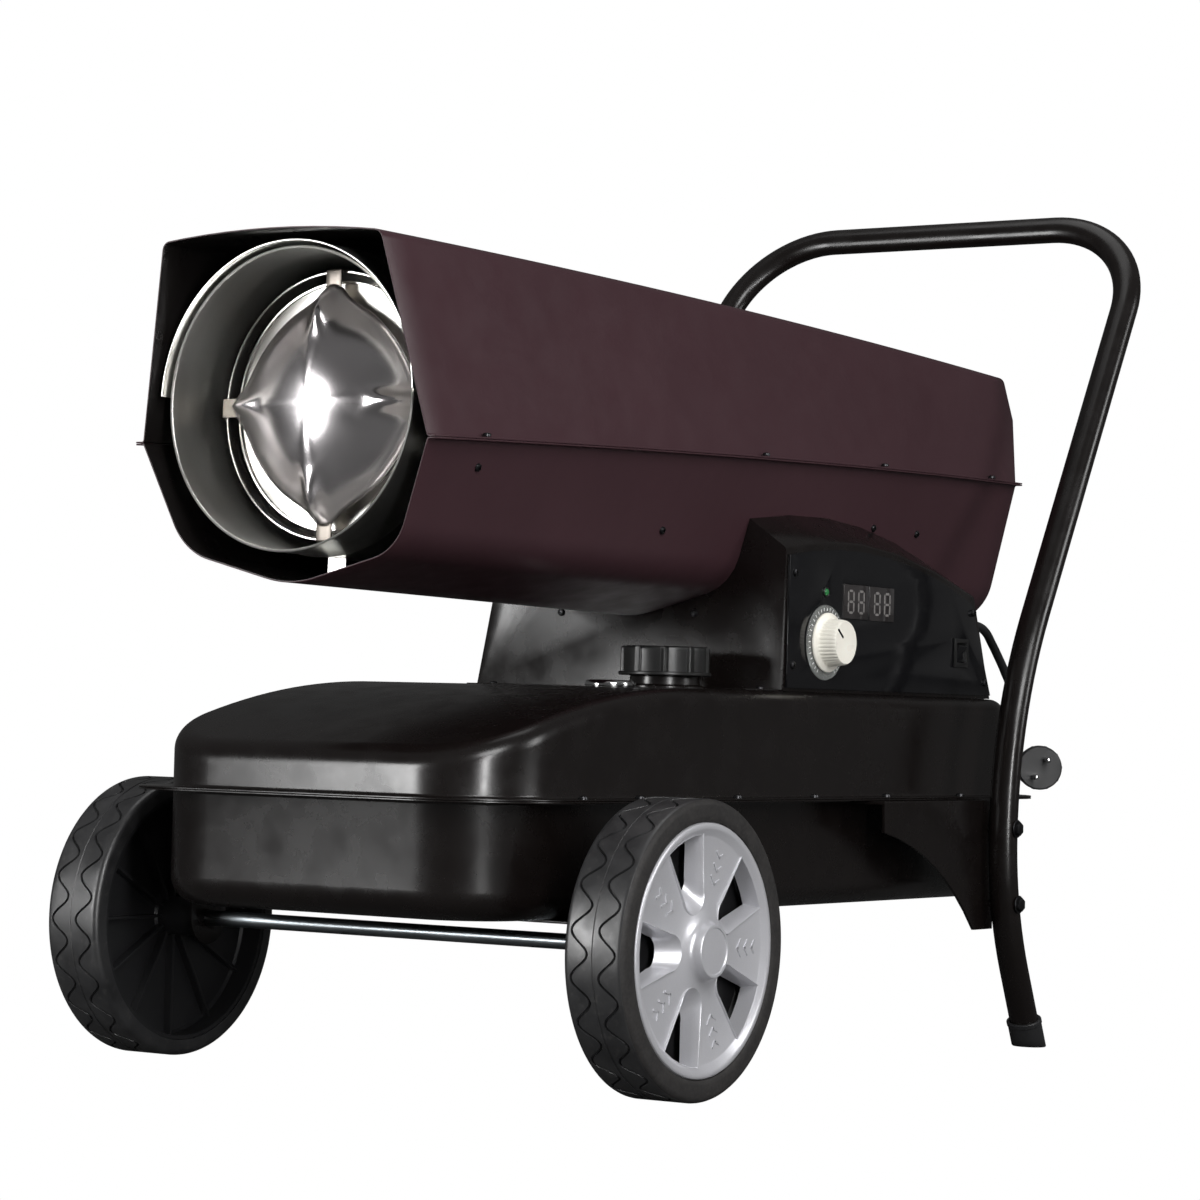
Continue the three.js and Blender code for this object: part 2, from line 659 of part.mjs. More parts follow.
// ring round the motor on arms that end on the flank and belly of the lower shell
const bracketPlace = (motorFoot[0] - outletX) / Math.cos(coreTilt);
const bandInner = motorRadius + clearance;
const motorBand = latheX([
  [bandInner, bracketPlace - 13], [bandInner, bracketPlace + 13],
  [bandInner + plate, bracketPlace + 13], [bandInner + plate, bracketPlace - 13],
  [bandInner, bracketPlace - 13],
], 24);
const motorArms = [Math.PI, sideArm, -sideArm].map((angle) => coreArm(
  bracketPlace, plate, 26, bandInner + plate / 2, angle,
));
const motorRail = 88;               // the bracket's feet run this far forward of its arms
const footRail = (side) => common(shellLining, inCore(box(
  motorFoot[0] - motorRail, motorFoot[0] + 12, side > 0 ? 90 : -140, side > 0 ? 140 : -90,
  motorFoot[1] - 10, motorFoot[1] + 10,
)));
addPart('motor_bracket', join(motorBand, ...motorArms, footRail(1), footRail(-1)), zinc, core);

// ---------------------------------------------------------------- rear guard
const guardX = barrelRearX - 8;
const guardWire = 1.6;
const guardMiddle = (topZ[1] + bellyZ[1]) / 2;
const guardRings = [47, 79, 110];
const guardRing = (radius) => latheX([
  [radius - guardWire, guardX], [radius, guardX - guardWire], [radius + guardWire, guardX],
  [radius, guardX + guardWire], [radius - guardWire, guardX],
], 18).translate(0, 0, guardMiddle);
const guardSpoke = (angle) => box(
  guardX + 0.4, guardX + 2.4, -1, 1, 14, guardRings.at(-1),
).rotateX(angle).translate(0, 0, guardMiddle);
const guardLug = (angle) => common(barrelRoom, box(
  guardX - guardWire, guardX + 3, -7, 7, guardRings.at(-1) - guardWire, guardRings.at(-1) + 40,
).rotateX(angle).translate(0, 0, guardMiddle));
addPart('rear_guard', join(
  ...guardRings.map(guardRing), ...range(6).map((k) => guardSpoke(k * Math.PI / 3)),
  latheX([[0, -1], [18, -1], [18, 2], [0, 2]], 12).translate(guardX, 0, guardMiddle),
  ...quarterTurns.map(guardLug),
), blackPaint);

// ---------------------------------------------------------------- tank
const tankTopAt = (x) => {
  const run = Math.max(bonnetStartX - x, 0);
  return tankTopZ - bonnetRadius + Math.sqrt(bonnetRadius ** 2 - run ** 2);
};

// half of the plan outline, +Y side, from the front to the rear
function tankPlan(grow, corner) {
  const [front, rear, side] = [-tankWall - grow, tankRearX + grow, tankHalfWidth + grow];
  const arc = (cx, from, steps) => range(steps + 1).map((k) => {
    const angle = from - (Math.PI / 2) * k / steps;
    return new THREE.Vector2(cx + corner * Math.cos(angle), side - corner + corner * Math.sin(angle));
  });
  const run = [0.33, 0.67, 1].map((s) => new THREE.Vector2(
    front + corner + s * (bonnetStartX - front - corner), side,
  ));
  return [...arc(front + corner, Math.PI, 5), ...run, ...arc(rear - corner, Math.PI / 2, 4)];
}
const fullPlan = (half) => [...half, ...[...half].reverse().map(({ x, y }) => new THREE.Vector2(x, -y))];

// one stamped half as a solid: walls up from the flange, a rolled edge and a top that
// follows heightAt(x); facing = -1 makes it hang below the flange
function stamping(shrink, edge, base, heightAt, facing) {
  const rings = [];
  const ringAt = (inset, drop) => fullPlan(tankPlan(-shrink - inset, tankCorner - shrink - inset))
    .map(({ x, y }) => new THREE.Vector3(x, y, facing * (heightAt(x) - shrink - drop)));
  rings.push(ringAt(0, 0).map((p) => p.clone().setZ(facing * base)));
  for (const angle of [0, 0.33, 0.67, 1].map((s) => s * Math.PI / 2)) {
    rings.push(ringAt(edge * (1 - Math.cos(angle)), edge * (1 - Math.sin(angle))));
  }
  const count = rings[0].length;
  const faces = [];
  for (const k of range(rings.length - 1)) {
    for (const i of range(count)) {
      const [a, b] = [k * count + i, k * count + (i + 1) % count];
      faces.push([a, b, b + count], [a, b + count, a + count]);
    }
  }
  const top = (rings.length - 1) * count;
  for (const i of range(count / 2 - 1)) {
    const [a, b, c, d] = [i, i + 1, count - 2 - i, count - 1 - i];
    faces.push([top + a, top + b, top + c], [top + a, top + c, top + d]);
    faces.push([a, c, b], [a, d, c]);
  }
  return body(rings.flat(), faces).translate(0, 0, flangeZ);
}

const flangeCorner = 83;
const flangeGap = clearance / 2;
const flangePlate = (low) => extrude(shapeOf(fullPlan(tankPlan(flangeWidth, flangeCorner))), sheet)
  .translate(0, 0, flangeZ + low);
const upperHeight = (x) => tankTopAt(x) - flangeZ;
const lowerHeight = () => flangeZ - tankBottomZ;
const drumZ = (radius, x, y, low, high, steps = 20) => rod(radius, [x, y, low], [x, y, high], steps);
const neckBore = 25;
const gaugeBodyRadius = 15;
const fillerHole = drumZ(neckBore + clearance, capX, capY, tankTopZ - 5, tankTopZ + 5);
const gaugeHole = drumZ(gaugeBodyRadius + clearance, gaugeX, capY, tankTopZ - 5, tankTopZ + 5);
const outletRadius = 5;
const fuelOutletHole = drumZ(
  outletRadius + clearance, fuelHoseX, fuelHoseY, tankTopZ - 5, tankTopZ + 5, 12,
);
addPart('tank_upper', cut(
  join(stamping(0, tankEdge, flangeGap, upperHeight, 1), flangePlate(flangeGap)),
  stamping(sheet, tankEdge - sheet, -2, upperHeight, 1), fillerHole, gaugeHole, fuelOutletHole,
), blackPaint);
addPart('tank_lower', cut(
  join(stamping(0, tankFootEdge, flangeGap, lowerHeight, -1), flangePlate(-flangeGap - sheet)),
  stamping(sheet, tankFootEdge - sheet, -2, lowerHeight, -1),
), blackPaint);

// filler neck, gasket and cap
const seat = tankTopZ + clearance;
const neckTop = seat + neckHeight + 13;
addPart('filler_neck', latheZ([
  [neckBore, seat], [neckRadius + 4, seat], [neckRadius + 4, seat + 2], [neckRadius, seat + 3],
  [neckRadius, neckTop], [neckBore, neckTop], [neckBore, seat],
], 20).translate(capX, capY, 0), blackPaint);
const gasketThickness = 2;
addPart('cap_gasket', latheZ([
  [neckBore, 0], [neckRadius, 0], [neckRadius, gasketThickness], [neckBore, gasketThickness],
  [neckBore, 0],
], 20).translate(capX, capY, neckTop + clearance), rubber);
const capSkirtZ = seat + neckHeight;
const capRoof = neckTop + gasketThickness + 2 * clearance;
const capPads = 10;
const capOutline = range(capPads * 4).map((k) => {
  const radius = k % 4 < 3 ? capRadius : capRadius - 3;
  const angle = 2 * Math.PI * k / (capPads * 4);
  return [radius * Math.cos(angle), radius * Math.sin(angle)];
});
const capRim = latheZ([
  [0, capSkirtZ], [capRadius + 1.5, capSkirtZ], [capRadius + 1.5, capSkirtZ + 3], [0, capSkirtZ + 3],
], 24);
addPart('fuel_cap', cut(
  join(extrude(shapeOf(capOutline), capHeight - 1.5).translate(0, 0, capSkirtZ + 1), capRim),
  drumZ(neckRadius + clearance + 0.4, 0, 0, capSkirtZ - 1, capRoof, 20),
  drumZ(capRadius - 9, 0, 0, capSkirtZ + capHeight - 2, capSkirtZ + capHeight + 2, 20),
).translate(capX, capY, 0), blackPlastic);

// fuel gauge with its dial, needle and swinging float
const dialZ = seat + 1.4;
const pivotZ = tankTopZ - 34;
const pivotRadius = 1.6;
const gaugeLug = (side) => box(-5, 5, side * 3.6 - 1.2, side * 3.6 + 1.2, pivotZ - 5, tankTopZ - 25.5);
const gaugeBody = latheZ([
  [0, tankTopZ - 26], [gaugeBodyRadius, tankTopZ - 26], [gaugeBodyRadius, seat], [gaugeRadius, seat],
  [gaugeRadius, seat + 3], [gaugeRadius - 3, seat + 4.5], [gaugeRadius - 4, seat + 4.5],
  [gaugeRadius - 4, dialZ], [1.5, dialZ], [1.5, dialZ + 2], [0, dialZ + 2],
], 14);
addPart('gauge_housing', join(
  gaugeBody, gaugeLug(1), gaugeLug(-1), rod(pivotRadius, [0, -4.5, pivotZ], [0, 4.5, pivotZ], 8),
).translate(gaugeX, capY, 0), chrome);
const needle = cut(
  join(box(-3, 13, -0.8, 0.8, 0, 1), drumZ(3.4, 0, 0, 0, 1, 10)),
  drumZ(1.5 + clearance, 0, 0, -1, 2, 10),
);
addPart('gauge_needle', needle.translate(gaugeX, capY, dialZ + clearance), blackPlastic);
const floatReach = 96;
const floatArm = cut(join(
  rod(4.2, [0, -2, 0], [0, 2, 0], 10), rod(1.5, [-3, 0, 0], [-floatReach + 6, 0, 0], 6),
  rod(12, [-floatReach, -20, 0], [-floatReach, 20, 0], 12),
), rod(pivotRadius + clearance, [0, -5, 0], [0, 5, 0], 8));
const emptyAngle = 1.25;            // below level, where the float hangs in an empty tank
addPart('gauge_float', floatArm.rotateY(-emptyAngle).translate(gaugeX, capY, pivotZ), blackPlastic);

// ---------------------------------------------------------------- housing between tank and barrel
const housingArcRadius = 643;
const housingArcX = 400;
const housingLean = (housingRearX - housingRearTopX) / 90;
const housingStations = [0, 0.2, 0.4, 0.6, 0.8, 1];
const shoulderAt = (x) => housingShoulderZ + 6 + Math.sqrt(
  housingArcRadius ** 2 - (x - housingArcX) ** 2,
) - housingArcRadius;
function housingOutline(x) {
  const shoulder = shoulderAt(x);
  const rise = housingTopZ - housingShoulderZ;
  return rounded([
    [housingNearY, seat], [housingNearY, shoulder, 6, 3], [-112, shoulder + 1.6 * rise],
    [108, shoulder + 1.6 * rise], [housingFarTopY, shoulder], [housingFarY, seat],
  ]);
}
function housingVolume(inset) {
  const start = housingFrontX + inset;
  const end = housingRearX - inset;
  return loft(housingStations.map((s) => {
    const x0 = start + (end - start) * s;
    const lean = housingLean * s;
    const line = offsetLine(housingOutline(x0 - lean * (housingShoulderZ - seat)), -inset, true);
    if (inset > 0) {
      line[0].y = seat - 4;
      line.at(-1).y = seat - 4;
    }
    return line.map(({ x: y, y: z }) => new THREE.Vector3(x0 - lean * (z - seat), y, z));
  }));
}
const housingRearAt = (z) => housingRearX - housingLean * (z - seat);
const rearNormal = new THREE.Vector3(1, 0, housingLean).normalize();
const glandZ = 350;
const glandY = -118;
const glandRadius = 8;
const glandPlace = [housingRearAt(glandZ), glandY, glandZ];
const panelLow = seat + panelInset;
const panelSide = (inset) => {
  const [left, right] = [housingFrontX + inset, housingRearX - inset];
  const arc = range(9).map((k) => {
    const x = left + (housingRearTopX - 6 - inset * 0.4 - left) * k / 8;
    return [x, shoulderAt(x) - inset - 3];
  });
  return [[left, seat + inset], [right, seat + inset], ...arc.reverse()];
};
const footStrip = box(housingFrontX - 19, housingFrontX + 1, housingNearY + 3, housingFarY - 3,
  seat, seat + housingSheet);
const alongNormal = (place, distance) => rearNormal.clone().multiplyScalar(distance)
  .add(new THREE.Vector3(...place)).toArray();

// rod hook for the coiled cord, welded to the rear of the housing
const hookRod = 3;
const hookZ = hankZ + hankHalfHeight - cordRadius - 2 * clearance - hookRod;
const hookStart = housingRearAt(hookZ) - housingSheet / 2;
const hookEnd = hankX + 13;
const hook = tubeAlong([
  [hookStart, hankY, hookZ], [hookEnd - 8, hankY, hookZ], [hookEnd - 2, hankY, hookZ + 2],
  [hookEnd, hankY, hookZ + 8], [hookEnd, hankY, hookZ + 20],
].map((p) => new THREE.Vector3(...p)), ellipseShape(2 * hookRod, 2 * hookRod, 6));
addPart('saddle_housing', join(cut(
  join(housingVolume(0), footStrip), housingVolume(housingSheet), barrelBody,
  extrudeY(shapeOf(panelSide(20)), housingNearY - 5, 12),
  rod(glandRadius + clearance, alongNormal(glandPlace, -12), alongNormal(glandPlace, 12), 12),
), hook), blackPaint);

// ---------------------------------------------------------------- control panel
const panelBack = housingNearY - clearance;
const panelFront = panelBack - panelThickness;
const knobPlace = [356, 342.5];
const knobShaft = 3;
const ledPlace = [357.3, 384];
const ledRadius = 3;
const windowSize = [41, 28.5];
const windowPlaces = [[406, 377.7], [450.4, 377.4]];
const rockerPlace = [593, 340.5];
const rockerSize = [25, 25];
const throughPanel = (x, z, radius, steps = 12) => rod(
  radius + clearance, [x, panelFront - 3, z], [x, panelBack + 3, z], steps,
);
const panelSlot = ([x, z], [wide, high]) => box(
  x - wide / 2 - clearance, x + wide / 2 + clearance, panelFront - 3, panelBack + 3,
  z - high / 2 - clearance, z + high / 2 + clearance,
);
addPart('control_panel', cut(
  extrudeY(shapeOf(panelSide(panelInset)), panelFront, panelThickness),
  throughPanel(...knobPlace, knobShaft), throughPanel(...ledPlace, ledRadius),
  ...windowPlaces.map((place) => panelSlot(place, windowSize)), panelSlot(rockerPlace, [21, 21]),
), glossBlack);

// a solid of revolution facing -Y, from [radius, distance in front of the panel] pairs
const facing = (profile, [x, z], steps = 24) => latheY(profile.map(([r, d]) => [r, panelFront - d]), steps)
  .translate(x, 0, z);
const knobFace = 20.5;
const dialRadius = 31;
addPart('thermostat_dial', facing([
  [knobShaft + clearance, clearance], [knobShaft + clearance, 2], [dialRadius - 1, 2],
  [dialRadius, clearance], [knobShaft + clearance, clearance],
], knobPlace, 24), clearPlastic);
const boardFace = panelFront + 14;
addPart('thermostat_knob', join(facing([
  [0, 2.4], [24.5, 2.4], [24.5, 4.6], [19.6, 7], [18.6, knobFace - 1.5], [17.4, knobFace], [0, knobFace],
], knobPlace, 24), facing([
  [0, -10.4], [knobShaft, -10.4], [knobShaft, 2.6], [0, 2.6],
], knobPlace, 10)), ivory);
addPart('indicator_lens', facing([
  [0, -1], [ledRadius, -1], [ledRadius, 0.6], [ledRadius * 0.6, 1.6], [0, 1.9],
], ledPlace, 12), { color: 0x2f8f3a, roughness: 0.2, metalness: 0 });

// one display module behind the panel, with a window block through each slot
const displayBack = panelBack + clearance;
const windowBlock = ([x, z]) => box(
  x - windowSize[0] / 2, x + windowSize[0] / 2, panelFront - 0.8, displayBack + 1,
  z - windowSize[1] / 2, z + windowSize[1] / 2,
);
addPart('display_module', join(
  ...windowPlaces.map(windowBlock),
  box(windowPlaces[0][0] - 24, windowPlaces[1][0] + 24, displayBack, displayBack + 7, 361, 394),
), { color: 0x2a2c2c, roughness: 0.1, metalness: 0 });

// rocker switch: a frame clipped into the panel and a rocker on a cross pin
const [rockerX, rockerZ] = rockerPlace;
const framePieces = [rockerSize[0], 21, 17];
const slab = (half, near, far) => box(
  rockerX - half, rockerX + half, near, far, rockerZ - half, rockerZ + half,
);
const frameFront = panelFront - clearance - 1.6;
const switchPinY = panelFront + 4;
addPart('switch_frame', join(cut(
  join(slab(framePieces[0] / 2, frameFront, panelFront - clearance),
    slab(framePieces[1] / 2, panelFront - clearance, panelBack + 9)),
  slab(framePieces[2] / 2, frameFront - 2, panelBack + 7),
), rod(1, [rockerX - 9, switchPinY, rockerZ], [rockerX + 9, switchPinY, rockerZ], 8)), blackPlastic);
const rockerHalf = framePieces[2] / 2 - 0.8;
const rockerOutline = shapeOf([
  [-rockerHalf, -5], [-rockerHalf + 1, -6.4], [0, -4.6], [rockerHalf - 1, -6.4], [rockerHalf, -5],
  [3.4, 3.2], [-3.4, 3.2],
], [circleHole(0, 0, 1 + clearance, 10)]);
const rocker = extrude(rockerOutline, 2 * (rockerHalf - 0.4))
  .translate(0, 0, -(rockerHalf - 0.4)).rotateY(Math.PI / 2);
const rockerRest = 0.16;
addPart('power_rocker', rocker.rotateX(rockerRest).translate(rockerX, switchPinY, rockerZ), glossBlack);

// control board on four posts behind the panel, and the spark transformer on the tank
const boardBack = panelBack + 15;
const board = box(330, 600, boardFace, boardFace + 1.6, 316, 386);
const post = ([x, z]) => rod(3, [x, panelBack + clearance, z], [x, boardFace + 0.5, z], 6);
const boardPosts = [[340, 326], [570, 326], [340, 360], [560, 360]];
const socketFloor = panelFront + 10.4 + clearance;
const potBody = latheY([
  [0, socketFloor], [knobShaft + clearance, socketFloor], [knobShaft + clearance, boardFace - 10],
  [9, boardFace - 10], [9, boardFace + 0.5], [0, boardFace + 0.5],
], 12).translate(knobPlace[0], 0, knobPlace[1]);
addPart('control_board', join(
  cut(board, box(rockerX - 13, 601, boardFace - 1, boardBack, rockerZ - 13, rockerZ + 13)),
  ...boardPosts.map(post), potBody,
  box(420, 450, boardFace + 1, boardFace + 14, 330, 352),
), boardGreen);
addPart('ignition_transformer', join(
  box(500, 580, 10, 70, seat, seat + 2), box(506, 574, 14, 66, seat + 1, seat + 44),
  drumZ(5, 525, 40, seat + 43, seat + 54, 12), drumZ(5, 555, 40, seat + 43, seat + 54, 12),
), blackPlastic);

// fuel hose from the tank to the nozzle and air hose from the pump to the burner
const fromCore = (x, y, z) => new THREE.Vector3(x, y, z).applyMatrix4(core.matrixWorld).toArray();
const smooth = (points, steps) => new THREE.CatmullRomCurve3(
  points.map((p) => new THREE.Vector3(...p)), false, 'centripetal',
).getSpacedPoints(steps);
const hoseShape = ellipseShape(7, 7, 6);
const nozzleBack = fromCore(nozzleEnd + clearance, 0, 0);
const fuelHose = tubeAlong(smooth([
  [fuelHoseX, fuelHoseY, tankTopZ + 16], [fuelHoseX, fuelHoseY, 350], [fuelHoseX, fuelHoseY, 410],
  [fuelHoseX - 2, fuelHoseY + 12, 458], [fuelHoseX - 22, -6, 486],
  [nozzleBack[0] + 12, 0, nozzleBack[2] - 0.3], nozzleBack,
], 14), hoseShape);
const pumpUnder = fromCore(pumpStart + 18, 0, -pumpRadius - 3 * clearance);
const nozzleSide = fromCore(headEnd + 5, 0, -11 - clearance);
const airHose = tubeAlong(smooth([
  pumpUnder, [pumpUnder[0], 4, pumpUnder[2] - 14], [pumpUnder[0] - 6, 30, 386],
  [pumpUnder[0] - 40, 37, 373], [fanPlace + outletX + 40, 37, 374], [fanPlace + outletX - 40, 36, 376],
  [nozzleSide[0] + 8, 18, 410], [nozzleSide[0], 2, 452], nozzleSide,
], 22), hoseShape);
const fuelOutlet = latheZ([
  [0, tankBottomZ + 12], [outletRadius, tankBottomZ + 12], [outletRadius, seat], [9, seat], [9, seat + 6],
  [4, seat + 8], [3.8, tankTopZ + 18], [0, tankTopZ + 18],
], 10).translate(fuelHoseX, fuelHoseY, 0);
addPart('fuel_hose', join(fuelHose, fuelOutlet), rubber);
addPart('air_hose', airHose, rubber);

// ---------------------------------------------------------------- axle, brackets and wheels
const axleZ = wheelRadius;
const axleEnd = wheelOuterFace - 8.5;
addPart('axle', rod(axleRadius, [0, -axleEnd, axleZ], [0, axleEnd, axleZ], 16), zinc);
const bracketTop = tankBottomZ - clearance;
function axleBracket(side) {
  const inner = axleBracketY - plate;
  const tab = shapeOf([
    [-axleTabRadius, bracketTop], ...range(13).map((k) => {
      const angle = Math.PI + Math.PI * k / 12;
      return [axleTabRadius * Math.cos(angle), axleZ + axleTabRadius * Math.sin(angle)];
    }), [axleTabRadius, bracketTop],
  ], [circleHole(0, axleZ, axleRadius + clearance, 16)]);
  const foot = box(-axleTabRadius, axleTabRadius, 96, axleBracketY, bracketTop - plate, bracketTop);
  const bracket = join(extrudeY(tab, inner, plate), foot);
  return side > 0 ? bracket : bracket.rotateZ(Math.PI);
}

// wheel parts are drawn for the +Y side, with Y measured from the middle of the machine
const wheelInnerFace = wheelOuterFace - wheelWidth;
const rimRadius = wheelRadius - tyreDepth;
const lipRadius = wheelRadius - tyreLip;
const lipThickness = 5;
const tyreSteps = 40;
const tyreShoulder = 5;             // chamfer between the tread and the side walls
const tyre = () => latheY([
  [rimRadius + clearance, wheelInnerFace], [wheelRadius - tyreShoulder, wheelInnerFace],
  [wheelRadius, wheelInnerFace + tyreShoulder], [wheelRadius, wheelOuterFace - tyreShoulder],
  [wheelRadius - tyreShoulder, wheelOuterFace], [lipRadius, wheelOuterFace - 1],
  [lipRadius, wheelOuterFace - lipThickness], [rimRadius + clearance, wheelOuterFace - lipThickness],
  [rimRadius + clearance, wheelInnerFace],
], tyreSteps);
const boss = axleBracketY + clearance;
const webPlace = wheelOuterFace - 30;
const webThickness = 3;
const capBack = wheelOuterFace - 12;
const rimEdge = wheelOuterFace - lipThickness - clearance;
const hubEnd = capBack - 3;
function rim() {
  const bore = axleRadius + clearance;
  const drum = latheY([
    [rimRadius, wheelInnerFace + 1], [rimRadius, rimEdge], [rimRadius - rimWall, rimEdge],
    [rimRadius - rimWall, webPlace + webThickness], [hubRadius, webPlace + webThickness],
    [hubRadius, hubEnd], [bore, hubEnd], [bore, boss], [hubRadius, boss], [hubRadius, webPlace],
    [rimRadius - rimWall, webPlace], [rimRadius - rimWall, wheelInnerFace + 1],
    [rimRadius, wheelInnerFace + 1],
  ], 20);
  const rib = box(-1.2, 1.2, wheelInnerFace + 14, webPlace + 1, hubRadius - 2, rimRadius - rimWall + 1);
  return join(drum, ...range(rimRibs).map((k) => rib.clone().rotateY(2 * Math.PI * k / rimRibs)));
}

// hub cap: a dished disc with five rounded windows and a raised centre
const capEdge = lipRadius - clearance;
const windowNose = 12.2;            // radius of a window's rounded end, next to the disc
const windowMouth = 21.2;           // half width of its outer end
const windowNear = hubCapDisc + 8;
const windowFar = capEdge - 9;
function hubWindow() {
  const nose = range(6).map((k) => {
    const angle = Math.PI * k / 5;
    return [windowNose * Math.cos(angle), windowNear + windowNose * (1 - Math.sin(angle))];
  });
  const outline = [[windowMouth, windowFar - 3], ...nose, [-windowMouth, windowFar - 3], [0, windowFar]];
  return extrudeY(shapeOf(outline.reverse()), capBack - 20, 60);
}
function hubCap() {
  const face = wheelOuterFace;
  const disc = latheY([
    [0, face - 7], [hubCapDisc + 8, face - 9], [capEdge - 12, face - 8],
    [capEdge - 5, capBack], [capEdge, capBack], [capEdge, face - 1], [capEdge - 4, face],
    [capEdge - 10, face - 4], [hubCapDisc + 14, face - 5], [hubCapDisc + 1, face],
    [hubCapDisc - 2, face + hubCapRise], [0, face + hubCapRise],
  ], 25);
  const windows = range(hubSpokes).map((k) => hubWindow().rotateY(2 * Math.PI * (k + 0.25) / hubSpokes));
  return cut(disc, ...windows);
}

// push nut with its washer on the end of the axle
const axleNut = () => latheY([
  [axleRadius + clearance, hubEnd + clearance], [12, hubEnd + clearance], [12, hubEnd + 1.8],
  [9, hubEnd + 2.4], [8, hubEnd + 5], [axleRadius + clearance, hubEnd + 5],
  [axleRadius + clearance, hubEnd + clearance],
], 12);
for (const [name, side] of [['left', -1], ['right', 1]]) {
  const wheel = new THREE.Group();
  wheel.position.set(0, 0, axleZ);
  wheel.rotation.z = side < 0 ? Math.PI : 0;
  heater.add(wheel);
  addPart(`tyre_${name}`, tyre(), rubber, wheel);
  addPart(`wheel_rim_${name}`, rim(), blackPlastic, wheel);
  addPart(`hub_cap_${name}`, hubCap(), silverPlastic, wheel);
  addPart(`axle_nut_${name}`, axleNut(), zinc, wheel);
  addPart(`axle_bracket_${name}`, axleBracket(side), blackPaint);
}

// ---------------------------------------------------------------- handle
const footArcEnd = kneeZ - footBendRadius * Math.sin(footLean);
const legArcEnd = kneeZ + legBendRadius * Math.sin(legLean);
const legArcEndX = kneeX + legBendRadius * (1 - Math.cos(legLean));
function legPoint(z) {
  if (z < footArcEnd) {
    const lowX = kneeX + footBendRadius * (1 - Math.cos(footLean));
    return lowX + (footArcEnd - z) * Math.tan(footLean);
  }
  if (z < kneeZ) return kneeX + footBendRadius - Math.sqrt(footBendRadius ** 2 - (kneeZ - z) ** 2);
  if (z < legArcEnd) return kneeX + legBendRadius - Math.sqrt(legBendRadius ** 2 - (z - kneeZ) ** 2);
  return legArcEndX + (z - legArcEnd) * Math.tan(legLean);
}
const barHalf = legY - barCorner;
const bendStartZ = barZ - barCorner * Math.cos(legLean);
const legHeights = [
  -14, ...[0, 0.33, 0.66].map((s) => footArcEnd + s * (kneeZ - footArcEnd)),
  ...[0, 0.25, 0.5, 0.75, 1].map((s) => kneeZ + s * (legArcEnd - kneeZ)), bendStartZ,
];
const legLine = legHeights.map((z) => new THREE.Vector3(legPoint(z), legY, z));
const bendSteps = 6;
const upLeg = new THREE.Vector3(Math.sin(legLean), 0, Math.cos(legLean));
const bendCentre = legLine.at(-1).clone().add(new THREE.Vector3(0, -barCorner, 0));
const bendLine = range(bendSteps).map((k) => {
  const angle = (Math.PI / 2) * (k + 1) / bendSteps;
  return bendCentre.clone().addScaledVector(upLeg, barCorner * Math.sin(angle))
    .add(new THREE.Vector3(0, barCorner * Math.cos(angle), 0));
});
const halfHandle = [...legLine, ...bendLine];
const flipY = (p) => new THREE.Vector3(p.x, -p.y, p.z);
const handleLine = [...halfHandle, ...[...halfHandle].reverse().map(flipY)];
const capSole = 4;
const capCuff = 24;
const capWall = 2;
const floorSlab = (top) => box(kneeX - 80, kneeX + 160, -legY - 60, legY + 60, -60, top);
const bolts = boltHeights.flatMap((z) => [1, -1].map((side) => [legPoint(z), side, z]));
const boltHole = ([x, side, z]) => rod(
  3 + clearance, [x, side * (axleBracketY - 8), z], [x, side * (legY + 30), z], 8,
);
const boltHoles = bolts.map(boltHole);
const handleTube = tubeAlong(handleLine, ellipseShape(tubeWide, tubeThin, 10));
addPart('handle_frame', cut(handleTube, floorSlab(capSole + clearance), ...boltHoles), blackPaint);

const cuffPoints = (side) => [-14, 8, capCuff].map((z) => new THREE.Vector3(legPoint(z), side * legY, z));
const cuffSpan = (side, grow) => tubeAlong(
  cuffPoints(side), ellipseShape(tubeWide + 2 * grow, tubeThin + 2 * grow, 10),
);
const legSpan = (side, grow) => tubeAlong(
  [-14, 8, capCuff + 30].map((z) => new THREE.Vector3(legPoint(z), side * legY, z)),
  ellipseShape(tubeWide + 2 * grow, tubeThin + 2 * grow, 10),
);
const footCap = (side) => cut(
  cuffSpan(side, clearance + capWall), floorSlab(0), cut(legSpan(side, clearance), floorSlab(capSole)),
);

// gusset plates between the tank's flange and the legs
const gussetOuter = legY - tubeWide / 2 - clearance;
const gussetTop = flangeZ - flangeGap - sheet - clearance;
const gussetRight = kneeX + 9;
function gusset(side) {
  const curve = new THREE.QuadraticBezierCurve(
    new THREE.Vector2(382, 188), new THREE.Vector2(480, 170.5), new THREE.Vector2(542, 103),
  ).getPoints(8);
  const web = extrudeY(shapeOf([
    [gussetRight, gussetTop], [380.5, gussetTop], ...curve, [gussetRight, 103],
  ]), gussetOuter - plate, plate);
  const foot = box(380.5, gussetRight, tankHalfWidth + 2.5, gussetOuter, gussetTop - plate, gussetTop);
  const solid = join(web, foot);
  return cut(side > 0 ? solid : mirrorY(solid), ...boltHoles);
}
function mirrorY(geometry) {
  const mirrored = geometry.clone().scale(1, -1, 1);
  const index = mirrored.index;
  for (let i = 0; i < index.count; i += 3) {
    const second = index.getX(i + 1);
    index.setX(i + 1, index.getX(i + 2));
    index.setX(i + 2, second);
  }
  return mirrored;
}
const boltHead = ([x, side, z]) => {
  const headFace = legY + tubeWide / 2 + clearance;
  const tail = gussetOuter - plate - 8;
  const bolt = join(
    rod(3, [x, tail, z], [x, headFace + 1, z], 6), rod(6, [x, headFace, z], [x, headFace + 3.5, z], 6),
    rod(5.5, [x, tail + 1.5, z], [x, gussetOuter - plate - clearance, z], 6),
  );
  return side > 0 ? bolt : mirrorY(weld(bolt));
};
